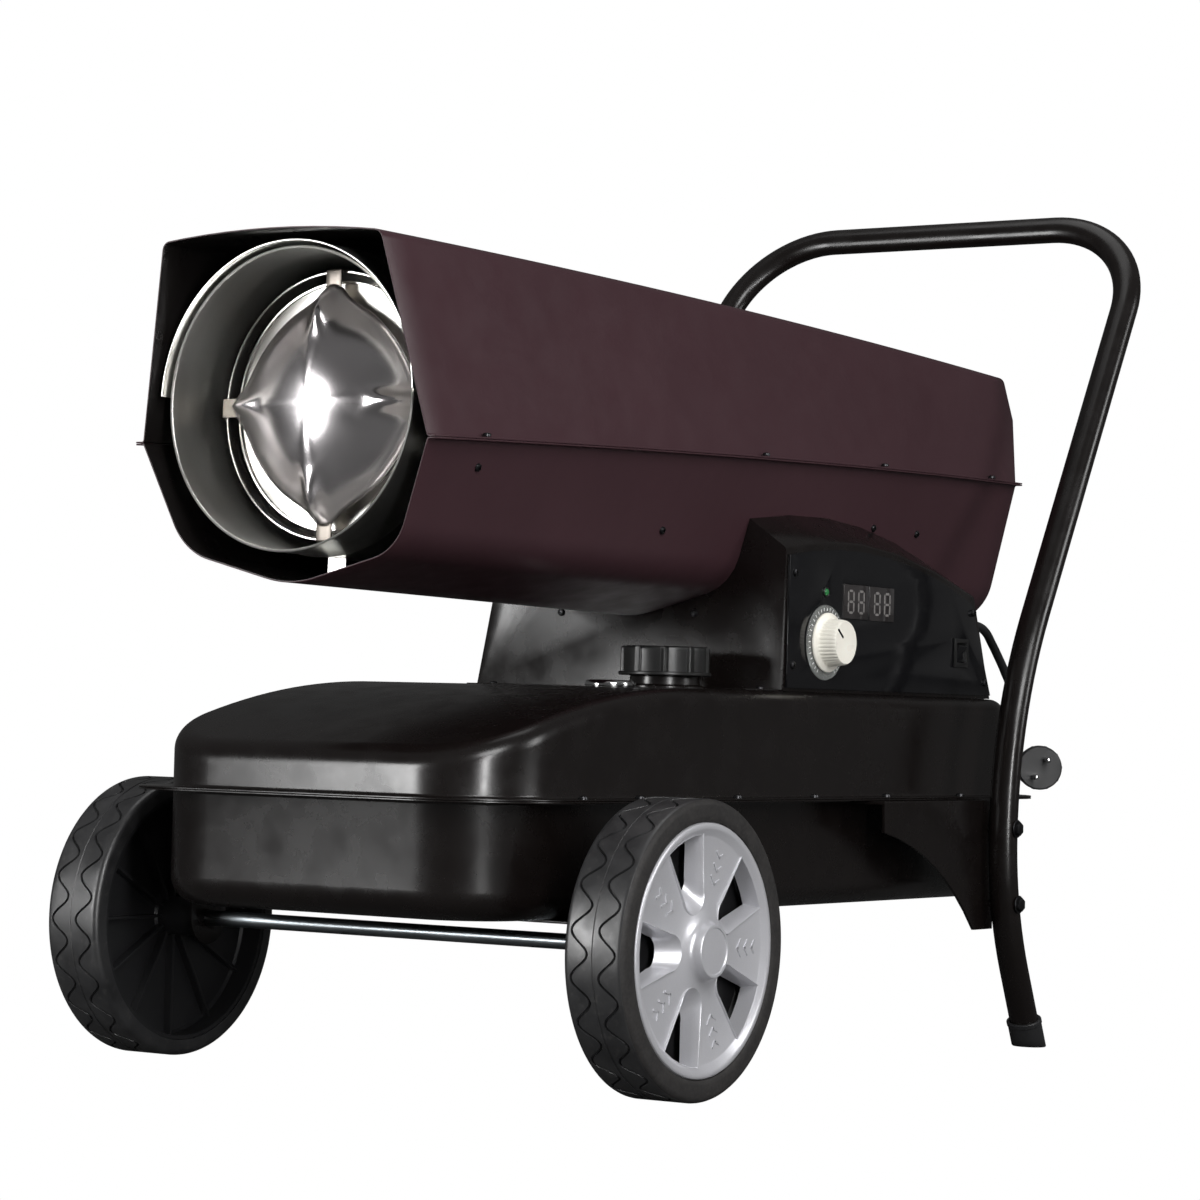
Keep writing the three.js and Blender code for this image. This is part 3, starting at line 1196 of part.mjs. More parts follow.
for (const [name, side] of [['left', -1], ['right', 1]]) {
  addPart(`foot_cap_${name}`, footCap(side), blackPlastic);
  addPart(`gusset_${name}`, gusset(side), blackPaint);
  const own = bolts.filter((bolt) => bolt[1] === side);
  addPart(`upper_bolt_${name}`, boltHead(own[0]), zinc);
  addPart(`lower_bolt_${name}`, boltHead(own[1]), zinc);
}

// ---------------------------------------------------------------- supply cord
const glandTip = new THREE.Vector3(...glandPlace).addScaledVector(rearNormal, 19.5);
const gland = latheZ([
  [0, -8], [glandRadius, -8], [glandRadius, clearance], [12, clearance], [12, 7], [10, 9], [9, 12],
  [6.5, 19.5], [0, 19.5],
], 12);
addPart('cord_gland', aimed(gland, rearNormal.toArray(), glandPlace), blackPlastic);

// hank: a racetrack loop wound towards the housing, entered and left on its -Y side
const arcCentre = hankHalfHeight - hankHalfWidth;
function hankLoop(start, end) {
  const near = hankY - hankHalfWidth;
  const far = hankY + hankHalfWidth;
  const straight = 2 * arcCentre;
  const bend = Math.PI * hankHalfWidth;
  const loopLength = 2 * (straight + bend);
  const points = [];
  const lengths = [];
  const stops = [0, 0.5, 1, ...range(9).map((k) => 1 + k / 9 + 1 / 9), 2.5, 3,
    ...range(9).map((k) => 3 + k / 9 + 1 / 9)].slice(0, -1);
  const spans = [straight, bend, straight, bend];
  const place = (stop) => {
    const part = Math.floor(stop) % 4;
    const share = stop - Math.floor(stop);
    const before = spans.slice(0, part).reduce((sum, span) => sum + span, 0);
    const angle = Math.PI * share;
    const y = [near, hankY - hankHalfWidth * Math.cos(angle), far, hankY + hankHalfWidth * Math.cos(angle)];
    const z = [
      hankZ + arcCentre - straight * share, hankZ - arcCentre - hankHalfWidth * Math.sin(angle),
      hankZ - arcCentre + straight * share, hankZ + arcCentre + hankHalfWidth * Math.sin(angle),
    ];
    return { y: y[part], z: z[part], along: before + spans[part] * share };
  };
  for (const turn of range(hankTurns + 1)) {
    for (const stop of stops) {
      const { y, z, along } = place(stop);
      points.push([y, z]);
      lengths.push(along + turn * loopLength);
    }
  }
  const from = hankZ + arcCentre - start;
  const to = hankTurns * loopLength + hankZ + arcCentre - end;
  const ease = 2.2 * cordRadius;
  const route = [[near, start, 0], [near, start - ease, 0]];
  points.forEach(([y, z], i) => {
    if (lengths[i] > from + ease + 4 && lengths[i] < to - ease - 4) {
      route.push([y, z, (lengths[i] - from - ease) / (to - from - 2 * ease)]);
    }
  });
  route.push([near, end + ease, 1], [near, end, 1]);
  return route.map(([y, z, share]) => new THREE.Vector3(hankX - share * hankPitch * hankTurns, y, z));
}
const leadEnd = cordLeadPoints.at(-1);
const tailStart = cordTailPoints[0];
const hank = hankLoop(leadEnd[2] - clearance, tailStart[2] + clearance);

// least distance between two stretches of the hank that are more than half a loop apart
function hankGap(line) {
  const fine = new THREE.CatmullRomCurve3(line, false, 'centripetal').getSpacedPoints(600);
  const apart = Math.round(300 / hankTurns);
  let least = Infinity;
  fine.forEach((p, i) => fine.slice(i + apart).forEach((q) => {
    least = Math.min(least, p.distanceTo(q));
  }));
  return least - 2 * cordRadius;
}
console.log(`hank: least gap to itself ${hankGap(hank).toFixed(2)} mm`);
const stretch = (points, steps) => tubeAlong(smooth(points, steps), ellipseShape(
  2 * cordRadius, 2 * cordRadius, 8,
));
const gap = rearNormal.clone().multiplyScalar(clearance).add(glandTip).toArray();
addPart('cord_lead', stretch([gap, ...cordLeadPoints], 11), rubber);
addPart('cord_hank', tubeAlong(hank, ellipseShape(2 * cordRadius, 2 * cordRadius, 6)), rubber);
addPart('cord_tail', stretch(cordTailPoints, 24), rubber);

// plug: a round body that tapers to its bend sleeve, with two pins
const plugAxis = new THREE.Vector3(-0.833, -0.552, -0.03).normalize();
const plugBack = new THREE.Vector3(...cordTailPoints.at(-1)).addScaledVector(plugAxis, clearance);
const plugLength = 44;
const plugPin = (side) => latheZ([
  [0, plugLength - 2], [2.4, plugLength - 2], [2.4, plugLength + 17], [1.4, plugLength + 19],
  [0, plugLength + 19],
], 8).translate(side * 9.5, 0, 0);
addPart('plug', aimed(join(latheZ([
  [0, 0], [6, 0], [7, 10], [13, 20], [17, 26], [20, 32], [20, plugLength - 1.5],
  [18.5, plugLength], [0, plugLength],
], 12), plugPin(1), plugPin(-1)), plugAxis.toArray(), plugBack.toArray()), rubber);

// ---------------------------------------------------------------- stand the heater on its origin
const cordNames = ['cord_gland', 'cord_lead', 'cord_hank', 'cord_tail', 'plug'];
const extent = new THREE.Box3();
heater.updateMatrixWorld(true);
heater.traverse((node) => {
  if (node.isMesh && !cordNames.includes(node.name)) extent.expandByObject(node, true);
});
const middle = extent.getCenter(new THREE.Vector3());
heater.position.set(-middle.x, -middle.y, -extent.min.z);

export default heater;
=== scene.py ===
"""Looks of the portable forced air heater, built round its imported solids.

Sizes are in millimetres in the drawing's own frame: X from the hot-air outlet to the
rear, -Y the control panel's side, Z up from the floor, X = 0 at the wheel axle. The
last step of every piece turns them into metres in the part's frame.
"""

import math

import bmesh
import bpy
from mathutils import Matrix, Vector


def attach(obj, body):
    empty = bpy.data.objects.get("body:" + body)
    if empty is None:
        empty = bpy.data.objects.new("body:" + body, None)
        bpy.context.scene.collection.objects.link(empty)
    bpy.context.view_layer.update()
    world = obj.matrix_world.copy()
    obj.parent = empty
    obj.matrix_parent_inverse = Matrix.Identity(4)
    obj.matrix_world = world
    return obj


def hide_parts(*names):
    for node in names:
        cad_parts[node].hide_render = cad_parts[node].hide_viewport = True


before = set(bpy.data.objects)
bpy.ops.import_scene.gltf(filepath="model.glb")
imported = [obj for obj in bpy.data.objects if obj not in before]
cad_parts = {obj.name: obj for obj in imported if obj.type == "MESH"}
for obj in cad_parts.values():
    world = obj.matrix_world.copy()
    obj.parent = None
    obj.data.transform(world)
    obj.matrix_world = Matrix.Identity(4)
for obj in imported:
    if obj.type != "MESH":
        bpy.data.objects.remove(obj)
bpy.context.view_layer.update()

# ---------------------------------------------------------------- sizes shared with the solids
FRAME_SHIFT = -324.7075  # the drawing's X to the part's X
CLEARANCE = 0.3
SHEET = 1.2
FULL_TURN = 2 * math.pi
QUARTER_TURN = math.pi / 2

WHEEL_RADIUS = 110
WHEEL_WIDTH = 51
TYRE_DEPTH = 12.5
TYRE_LIP = 17
WHEEL_FACE = 267.5
HUB_RADIUS = 15
HUB_DISC = 21
HUB_RISE = 8
AXLE_RADIUS = 6
AXLE_END = WHEEL_FACE - 8.5

TANK_FRONT = -129.5
TANK_REAR = 712
TANK_HALF = 166
TANK_CORNER = 73
FLANGE_WIDTH = 21.6
FLANGE_CORNER = 83
FLANGE_Z = 215
TANK_TOP = 301
TANK_BOTTOM = 127
TANK_EDGE = 14
TANK_FOOT_EDGE = 22
BONNET_RADIUS = 780
BONNET_START = 150

BARREL_FRONT = -170.6
BARREL_REAR = 739
BARREL_LEAN = 0.14
BARREL_STATIONS = 36
SEAM_LIP = 7
# the barrel's outline at its front and its rear
SEAM_Z, TOP_Z, BOTTOM_Z = (472, 498), (618.6, 596), (366, 350)
SEAM_HALF, SHOULDER_HALF, TOP_HALF = (131.5, 130), (112.9, 126), (100.5, 115)
FLANK_FOOT_HALF, FLANK_FOOT_Z = (98.7, 102), (391.5, 382)
CROWN_RISE = 6
SHOULDER_SHARE = 0.6

OUTLET_X = -164
OUTLET_Z = 503
CORE_TILT = math.radians(1.2)
CASING_RADIUS = 112
CASING_LENGTH = 118
SHIELD_RADIUS = 116.2
SHIELD_LENGTH = 96
SHIELD_LEAD = 6
CHAMBER_RADIUS = 100.4
CHAMBER_START = 52
CHAMBER_LENGTH = 410
HEAD_LENGTH = 50
THROAT_RADIUS = 93
THROAT_LENGTH = 60
DIFFUSER_RISE = 30
DIFFUSER_BODY = 74
DIFFUSER_ARM = 90
FAN_PLACE = 640
FAN_TO_MOTOR = 50
MOTOR_RADIUS = 58
MOTOR_LENGTH = 105
PUMP_RADIUS = 46
PUMP_LENGTH = 34

HOUSING_FRONT = 295
HOUSING_REAR = 655
HOUSING_LEAN = 34 / 90
SEAT = TANK_TOP + CLEARANCE
PANEL_FRONT = -154.3

CAP_X, CAP_Y = 238, -75
CAP_RADIUS = 36
CAP_BASE = SEAT + 10
CAP_HEIGHT = 24
NECK_RADIUS = 29
NECK_BORE = 25
NECK_TOP = SEAT + 23
GASKET = 2
GAUGE_X = 158
GAUGE_RADIUS = 20
GAUGE_THROAT = 15.3

TUBE_WIDE = 26
TUBE_THIN = 20
LEG_Y = 214
KNEE_X, KNEE_Z = 566.6, 184
FOOT_BEND, FOOT_LEAN = 272, math.radians(25.3)
LEG_BEND, LEG_LEAN = 380, math.radians(30)
BAR_Z = 743
BAR_CORNER = 97
BOLT_HEIGHTS = (190, 125)

CORD_RADIUS = 4
HANK_X, HANK_Y, HANK_Z = 772, -47, 226
HANK_HALF_WIDTH, HANK_HALF_HEIGHT = 45, 96
HANK_TURNS, HANK_PITCH = 3, 9.4
HOOK_ROD = 6.3


# ---------------------------------------------------------------- forms: points in mm, and faces
def loft(rings, ends=True):
    """Skin over equal rings of points, closed by a flat face at each end."""
    count = len(rings[0])
    points = [tuple(p) for ring in rings for p in ring]
    faces = []
    for a in range(0, (len(rings) - 1) * count, count):
        for i in range(count):
            j = (i + 1) % count
            faces.append((a + i, a + j, a + count + j, a + count + i))
    if ends:
        faces.append(tuple(range(count - 1, -1, -1)))
        faces.append(tuple((len(rings) - 1) * count + i for i in range(count)))
    return points, faces


def bent_sheet(outer_lines, inner_lines):
    """A wall between two equal grids of points, closed along its four edges."""
    rows, count = len(outer_lines), len(outer_lines[0])
    points = [tuple(p) for grid in (outer_lines, inner_lines) for line in grid for p in line]
    faces = []
    half = rows * count
    for k in range(rows - 1):
        for i in range(count - 1):
            a = k * count + i
            faces.append((a, a + 1, a + count + 1, a + count))
            faces.append((half + a, half + a + count, half + a + count + 1, half + a + 1))
    for i in range(count - 1):
        a, b = i, (rows - 1) * count + i
        faces.append((a, half + a, half + a + 1, a + 1))
        faces.append((b, b + 1, half + b + 1, half + b))
    for k in range(rows - 1):
        a, b = k * count, k * count + count - 1
        faces.append((a, a + count, half + a + count, half + a))
        faces.append((b, half + b, half + b + count, b + count))
    return points, faces


def lathe_faces(steps, count, open_profile=False):
    """Faces between the profiles of a solid of revolution, count points in each."""
    faces = []
    for k in range(steps):
        n = (k + 1) % steps
        for i in range(count - 1 if open_profile else count):
            j = (i + 1) % count
            faces.append((k * count + i, n * count + i, n * count + j, k * count + j))
    return faces


def turned(profile, steps=72, waver=None):
    """A solid of revolution about Z from (radius, height) pairs; waver shifts its points."""
    points = []
    for k in range(steps):
        angle = FULL_TURN * k / steps
        for radius, height in profile:
            if waver:
                radius, height = waver(angle, radius, height)
            points.append((radius * math.cos(angle), radius * math.sin(angle), height))
    return points, lathe_faces(steps, len(profile), open_profile=profile[0][0] < 1e-6)


def swept(line, section, across, ends=True):
    """A section of (a, b) pairs carried along a line; across is where its a axis starts."""
    line = [Vector(p) for p in line]
    a_axis = Vector(across).normalized()
    rings = []
    for i, place in enumerate(line):
        before = line[max(i - 1, 0)]
        after = line[min(i + 1, len(line) - 1)]
        along = (after - before).normalized()
        a_axis = (a_axis - along * a_axis.dot(along)).normalized()
        b_axis = along.cross(a_axis)
        rings.append([place + a_axis * a + b_axis * b for a, b in section])
    return loft(rings, ends)


def block(x0, x1, y0, y1, z0, z1):
    points = [(x, y, z) for x in (x0, x1) for y in (y0, y1) for z in (z0, z1)]
    sides = [(0, 1, 3, 2), (4, 6, 7, 5), (0, 4, 5, 1), (2, 3, 7, 6), (0, 2, 6, 4), (1, 5, 7, 3)]
    return points, sides


def moved(form, matrix):
    return [tuple(matrix @ Vector(p)) for p in form[0]], form[1]


def toward(direction, place=(0, 0, 0)):
    """Carries what was made along +Z to point along a direction at a place."""
    turn = Vector((0, 0, 1)).rotation_difference(Vector(direction).normalized())
    return Matrix.Translation(Vector(place)) @ turn.to_matrix().to_4x4()


def lathe(profile, steps, place, waver=None):
    return moved(turned(profile, steps, waver), place)


def oval(wide, thin, sides):
    angles = [FULL_TURN * k / sides for k in range(sides)]
    return [(wide / 2 * math.cos(a), thin / 2 * math.sin(a)) for a in angles]


def rounded(corners):
    """Line of (a, b) points whose (a, b, radius, steps) corners become arcs."""
    points = []
    for i, corner in enumerate(corners):
        here = Vector(corner[:2])
        if len(corner) < 3:
            points.append(here)
            continue
        radius, steps = corner[2], corner[3]
        before = (Vector(corners[i - 1][:2]) - here).normalized()
        after = (Vector(corners[(i + 1) % len(corners)][:2]) - here).normalized()
        half = math.acos(max(-1.0, min(1.0, before.dot(after)))) / 2
        centre = here + (before + after).normalized() * (radius / math.sin(half))
        start = here + before * (radius / math.tan(half)) - centre
        sign = -1 if before.x * after.y - before.y * after.x >= 0 else 1
        for k in range(steps + 1):
            turn = sign * (math.pi - 2 * half) * k / steps
            points.append(centre + Matrix.Rotation(turn, 2) @ start)
    return points


def offset_line(line, distance, closed=False):
    """The same line moved sideways by a distance, with sharp mitres."""
    count = len(line)
    moved_line = []
    for i, here in enumerate(line):
        before = line[i - 1] if closed or i else here
        after = line[(i + 1) % count] if closed or i < count - 1 else here
        into, out = (here - before), (after - here)
        into = into.normalized() if into.length > 1e-9 else out.normalized()
        out = out.normalized() if out.length > 1e-9 else into
        side = Vector((-into.y - out.y, into.x + out.x)).normalized()
        square = Vector((-into.y, into.x))
        moved_line.append(here + side * (distance / side.dot(square)))
    return moved_line


SPLINE_STEPS = 24


def between(a, b, start, end, at):
    return a * ((end - at) / (end - start)) + b * ((at - start) / (end - start))


def through(points, steps):
    """Evenly spaced points on a smooth line through the given ones (centripetal)."""
    pts = [Vector(p) for p in points]
    pts = [pts[0] * 2 - pts[1]] + pts + [pts[-1] * 2 - pts[-2]]
    fine = []
    for i in range(1, len(pts) - 2):
        p0, p1, p2, p3 = pts[i - 1 : i + 3]
        t0 = 0.0
        t1 = t0 + math.sqrt((p1 - p0).length)
        t2 = t1 + math.sqrt((p2 - p1).length)
        t3 = t2 + math.sqrt((p3 - p2).length)
        for k in range(SPLINE_STEPS):
            t = t1 + (t2 - t1) * k / SPLINE_STEPS
            a1 = between(p0, p1, t0, t1, t)
            a2 = between(p1, p2, t1, t2, t)
            a3 = between(p2, p3, t2, t3, t)
            b1, b2 = between(a1, a2, t0, t2, t), between(a2, a3, t1, t3, t)
            fine.append(between(b1, b2, t1, t2, t))
    fine.append(pts[-2])
    lengths = [0.0]
    for a, b in zip(fine, fine[1:]):
        lengths.append(lengths[-1] + (b - a).length)
    spaced, at = [], 0
    for k in range(steps + 1):
        want = lengths[-1] * k / steps
        while at < len(fine) - 2 and lengths[at + 1] < want:
            at += 1
        share = (want - lengths[at]) / max(lengths[at + 1] - lengths[at], 1e-9)
        spaced.append(fine[at].lerp(fine[at + 1], min(share, 1.0)))
    return spaced


# ---------------------------------------------------------------- objects
def to_part(point):
    return Vector(((point[0] + FRAME_SHIFT) / 1000, point[1] / 1000, point[2] / 1000))


def to_drawing(place):
    return place.x * 1000 - FRAME_SHIFT, place.y * 1000, place.z * 1000


def build_mesh(name, forms, smooth=32, scaled=to_part):
    """One clean mesh of all the forms, its points turned from millimetres by scaled."""
    mesh = bpy.data.meshes.new(name)
    form = bmesh.new()
    for points, faces in forms:
        made = [form.verts.new(scaled(p)) for p in points]
        for face in faces:
            try:
                form.faces.new([made[i] for i in face])
            except ValueError:
                continue
    bmesh.ops.remove_doubles(form, verts=form.verts, dist=2e-6)
    bmesh.ops.dissolve_degenerate(form, edges=form.edges, dist=1e-6)
    bmesh.ops.recalc_face_normals(form, faces=form.faces)
    form.to_mesh(mesh)
    form.free()
    shade(mesh, smooth)
    return mesh


def shade(mesh, smooth):
    mesh.polygons.foreach_set("use_smooth", [True] * len(mesh.polygons))
    mesh.set_sharp_from_angle(angle=math.radians(smooth))


def add_object(name, mesh):
    made = bpy.data.objects.new(name, mesh)
    bpy.context.scene.collection.objects.link(made)
    return made


def settle(made, smooth=32):
    """Turns what the modifiers give into the object's plain mesh."""
    bpy.context.view_layer.update()
    evaluated = made.evaluated_get(bpy.context.evaluated_depsgraph_get())
    mesh = bpy.data.meshes.new_from_object(evaluated)
    made.modifiers.clear()
    made.data = mesh
    shade(mesh, smooth)
    return made


def soften(made, width, segments=2, angle=40, smooth=32):
    """Rounds an object's edges by a width in millimetres."""
    bevel = made.modifiers.new("soft edges", "BEVEL")
    bevel.width = width / 1000
    bevel.segments = segments
    bevel.limit_method = "ANGLE"
    bevel.angle_limit = math.radians(angle)
    bevel.use_clamp_overlap = True
    return settle(made, smooth)


def combine(made, tool, operation, smooth=32):
    """Cuts an object by a tool or keeps what both share, and removes the tool."""
    cut = made.modifiers.new("cut", "BOOLEAN")
    cut.operation, cut.solver, cut.object = operation, "EXACT", tool
    settle(made, smooth)
    bpy.data.objects.remove(tool)


def carve(made, forms, smooth=32):
    """Cuts closed forms out of an object."""
    combine(made, add_object("cutter", build_mesh("cutter", forms)), "DIFFERENCE", smooth)
    return made


def taken_form(made):
    """An object's faces as a form in the drawing's millimetres; the object goes."""
    points = [to_drawing(v.co) for v in made.data.vertices]
    faces = [tuple(p.vertices) for p in made.data.polygons]
    bpy.data.objects.remove(made)
    return points, faces


def finish_piece(made, finishes, body, stands_for=()):
    """Gives an object its finish and body, and hides the node or nodes it stands in for."""
    for one in finishes if isinstance(finishes, list) else [finishes]:
        made.data.materials.append(one)
    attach(made, body)
    if stands_for:
        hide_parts(*([stands_for] if isinstance(stands_for, str) else stands_for))
    return made


def piece(name, forms, finish, stands_for=(), body="heater", bevel=0, smooth=32, cuts=()):
    """A named piece of the model from its forms, cut, softened, painted and on its body."""
    made = add_object(name, build_mesh(name, forms, smooth))
    if cuts:
        carve(made, cuts, smooth)
    if bevel:
        soften(made, bevel, smooth=smooth)
    return finish_piece(made, finish, body, stands_for)


def solid_form(node):
    """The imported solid's own faces as a form, its loose triangles joined into flat faces."""
    form = bmesh.new()
    form.from_mesh(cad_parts[node].data)
    bmesh.ops.remove_doubles(form, verts=form.verts, dist=1e-5)
    bmesh.ops.dissolve_limit(
        form, angle_limit=math.radians(0.4), verts=form.verts, edges=form.edges
    )
    form.verts.index_update()
    points = [to_drawing(v.co) for v in form.verts]
    faces = [tuple(v.index for v in face.verts) for face in form.faces]
    form.free()
    return points, faces


def dressed(node, finish, body="heater", bevel=0.4, smooth=32, extra=(), cuts=()):
    """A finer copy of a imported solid: same faces, rounded edges and its own finish."""
    return piece(
        f"{node}_dressed", [solid_form(node), *extra], finish, node, body, bevel, smooth, cuts
    )


# ---------------------------------------------------------------- finishes
def add_node(tree, kind, inputs, **settings):
    """A node with its settings, each input wired to a socket or given a value."""
    made = tree.nodes.new(kind)
    for setting, value in settings.items():
        setattr(made, setting, value)
    for socket, value in inputs.items():
        if isinstance(value, bpy.types.NodeSocket):
            tree.links.new(value, made.inputs[socket])
        else:
            made.inputs[socket].default_value = value
    return made


def set_stops(node, stops):
    """Gives a colour ramp its (place, colour) stops."""
    elements = node.color_ramp.elements
    while len(elements) < len(stops):
        elements.new(0.5)
    for element, (place, colour) in zip(elements, stops):
        element.position = place
        element.color = (*colour, 1)


class Finish:
    """A material whose nodes all read the piece's own coordinates, in metres."""

    def __init__(self, name, colour, roughness, metallic=0.0, **sockets):
        self.material = bpy.data.materials.new(name)
        self.material.use_nodes = True
        self.tree = self.material.node_tree
        self.shader = self.tree.nodes["Principled BSDF"]
        self.shader.inputs["Base Color"].default_value = (*colour, 1)
        self.shader.inputs["Roughness"].default_value = roughness
        self.shader.inputs["Metallic"].default_value = metallic
        for socket, value in sockets.items():
            self.shader.inputs[socket.replace("_", " ")].default_value = value
        self.place = self.node("ShaderNodeTexCoord").outputs["Object"]

    def node(self, kind, **inputs):
        values = {socket.replace("_", " "): value for socket, value in inputs.items()}
        return add_node(self.tree, kind, values)

    def wire(self, start, end):
        self.tree.links.new(start, end)

    def noise(self, size_mm, detail=3.0, stretch=None):
        """Noise whose features are about size_mm across, or drawn out by a stretch."""
        place = self.place
        if stretch:
            place = self.node("ShaderNodeMapping", Scale=stretch, Vector=place).outputs["Vector"]
        made = self.node("ShaderNodeTexNoise", Scale=1000 / size_mm, Detail=detail,
                         Roughness=0.55, Vector=place)
        return made.outputs["Fac"]

    def cells(self, size_mm):
        made = self.node("ShaderNodeTexVoronoi", Scale=1000 / size_mm, Vector=self.place)
        return made.outputs["Color"]

    def ramp(self, value, stops):
        made = self.node("ShaderNodeValToRGB", Fac=value)
        set_stops(made, stops)
        return made.outputs["Color"]

    def spread(self, value, low, high, start=0.3, end=0.7):
        made = self.node("ShaderNodeMapRange", Value=value, From_Min=start, From_Max=end,
                         To_Min=low, To_Max=high)
        return made.outputs["Result"]

    def blend(self, share, a, b):
        a, b = ((*c, 1) if isinstance(c, tuple) else c for c in (a, b))
        made = add_node(self.tree, "ShaderNodeMix", {0: share, 6: a, 7: b}, data_type="RGBA")
        return made.outputs[2]

    def colour(self, socket):
        self.wire(socket, self.shader.inputs["Base Color"])

    def worn(self, gloss, gloss_range, grain, grain_mm, gloss_window=(0.3, 0.7)):
        """The material, with uneven gloss and a fine relief, each from a noise or a socket."""
        gloss, grain = (self.noise(*n) if isinstance(n, tuple) else n for n in (gloss, grain))
        self.wire(self.spread(gloss, *gloss_range, *gloss_window), self.shader.inputs["Roughness"])
        relief = self.node("ShaderNodeBump", Strength=1.0, Distance=grain_mm / 1000, Height=grain)
        self.wire(relief.outputs["Normal"], self.shader.inputs["Normal"])
        return self.material

    def dusted(self, base, dust, amount, size_mm=70):
        """A thin uneven film of dust and handling marks over a base colour."""
        patch = self.spread(self.noise(size_mm, 5.0), 0.0, amount, 0.45, 0.8)
        return self.blend(patch, base, dust)


def powder_coat(name, colour, roughness, peel_mm=1.6, peel_depth=0.012, gloss=0.5, warm=1.12):
    coat = Finish(name, colour, roughness, 0.0, Specular_IOR_Level=gloss)
    lighter = tuple(c * warm + 0.0004 for c in colour)
    tone = coat.ramp(coat.noise(140, 4.0), [(0.3, colour), (0.7, lighter)])
    coat.colour(coat.dusted(tone, tuple(c * 1.5 + 0.004 for c in colour), 0.08))
    return coat.worn((26, 5.0), (roughness - 0.05, roughness + 0.07), (peel_mm, 2.0), peel_depth)


def rolled_steel(name, colour, roughness, tint=None, lines=(900, 14, 14), line_depth=0.006):
    """Sheet or wire with fine rolling marks; tint is a heat colour that comes in patches."""
    steel = Finish(name, colour, roughness, 1.0)
    marks = steel.noise(1000, 4.0, lines)
    base = steel.ramp(marks, [(0.25, tuple(c * 0.93 for c in colour)), (0.75, colour)])
    if tint:
        base = steel.blend(steel.spread(steel.noise(60, 4.0), 0.0, 0.5, 0.45, 0.75), base, tint)
    steel.colour(base)
    return steel.worn(marks, (roughness - 0.03, roughness + 0.05), marks, line_depth)


def galvanised(name, colour, roughness):
    zinc_coat = Finish(name, colour, roughness, 1.0)
    spangle = zinc_coat.cells(9)
    tone = zinc_coat.ramp(spangle, [(0.15, tuple(c * 0.80 for c in colour)), (0.85, colour)])
    zinc_coat.colour(zinc_coat.dusted(tone, tuple(c * 0.6 for c in colour), 0.25, 40))
    gloss_range = (roughness - 0.07, roughness + 0.08)
    return zinc_coat.worn(spangle, gloss_range, (5, 3.0), 0.01, (0.1, 0.9))


def moulded(name, colour, roughness, grain_mm=0.45, grain_depth=0.02, gloss=0.5, dust=0.12):
    plastic = Finish(name, colour, roughness, 0.0, Specular_IOR_Level=gloss)
    lighter = tuple(c * 1.15 for c in colour)
    tone = plastic.ramp(plastic.noise(45, 3.0), [(0.3, colour), (0.7, lighter)])
    plastic.colour(plastic.dusted(tone, tuple(c * 1.5 + 0.015 for c in colour), dust, 30))
    gloss_range = (roughness - 0.05, roughness + 0.06)
    return plastic.worn((12, 4.0), gloss_range, (grain_mm, 1.5), grain_depth)


def tyre_rubber():
    tread = Finish("tyre rubber", (0.018, 0.018, 0.019), 0.38, 0.0, Specular_IOR_Level=0.8)
    tone = tread.ramp(
        tread.noise(16, 5.0), [(0.3, (0.012, 0.012, 0.013)), (0.72, (0.030, 0.030, 0.031))]
    )
    scuffs = tread.spread(tread.noise(6, 6.0), 0.0, 0.45, 0.58, 0.75)
    tread.colour(tread.blend(scuffs, tone, (0.075, 0.072, 0.068)))
    return tread.worn((22, 5.0), (0.28, 0.48), (1.2, 3.0), 0.05)


def side_rubber():
    band = Finish("tyre side rubber", (0.020, 0.018, 0.018), 0.55, 0.0, Specular_IOR_Level=0.4)
    tone = band.ramp(
        band.noise(2.2, 4.0), [(0.35, (0.015, 0.014, 0.014)), (0.7, (0.028, 0.026, 0.025))]
    )
    band.colour(band.dusted(tone, (0.055, 0.051, 0.048), 0.25, 18))
    return band.worn((10, 4.0), (0.55, 0.72), (0.9, 3.0), 0.06)


def silver_paint():
    silver = Finish("silver hub paint", (0.62, 0.62, 0.65), 0.32, 0.38, Coat_Weight=0.2)
    flake = silver.noise(0.35, 1.0)
    tone = silver.ramp(flake, [(0.3, (0.55, 0.55, 0.58)), (0.7, (0.62, 0.62, 0.65))])
    silver.colour(silver.dusted(tone, (0.52, 0.51, 0.52), 0.2, 24))
    return silver.worn((14, 4.0), (0.28, 0.38), flake, 0.006)


def polished_sheet():
    """Bright pressed sheet: long soft waves from the press and a faint heat tint."""
    bright = Finish("polished sheet", (0.76, 0.73, 0.74), 0.21, 1.0)
    heat = bright.spread(bright.noise(70, 2.0), 0.0, 0.4, 0.4, 0.8)
    bright.colour(bright.blend(heat, (0.76, 0.73, 0.74), (0.66, 0.61, 0.62)))
    return bright.worn((40, 1.0), (0.19, 0.24), (36, 0.0), 0.05)


def zinc_rod():
    """Plated rod with faint drawing marks, darkened to brown beyond the brackets: painted shade for
    their shadow and dark reflection on it.
    """
    rod = Finish("zinc plated rod", (0.50, 0.52, 0.55), 0.3, 1.0)
    marks = rod.noise(1000, 4.0, (160, 10, 160))
    tone = rod.ramp(marks, [(0.3, (0.26, 0.29, 0.31)), (0.7, (0.42, 0.46, 0.48))])
    along = add_node(rod.tree, "ShaderNodeSeparateXYZ", {0: rod.place}).outputs["Y"]
    from_middle = add_node(rod.tree, "ShaderNodeMath", {0: along}, operation="ABSOLUTE")
    # painted shade: darker from |Y| 165 mm out to the ends, for the brackets' shadow and reflection
    bracket_shade = rod.spread(from_middle.outputs[0], 0.0, 0.8, 0.165, 0.19)
    rod.colour(rod.blend(bracket_shade, tone, (0.10, 0.09, 0.085)))
    return rod.worn(marks, (0.22, 0.38), marks, 0.01)


def see_through():
    clear = Finish(
        "clear moulding", (0.80, 0.82, 0.80), 0.12, 0.0, IOR=1.49, Transmission_Weight=0.85
    )
    return clear.worn((9, 4.0), (0.08, 0.2), (14, 2.0), 0.01)


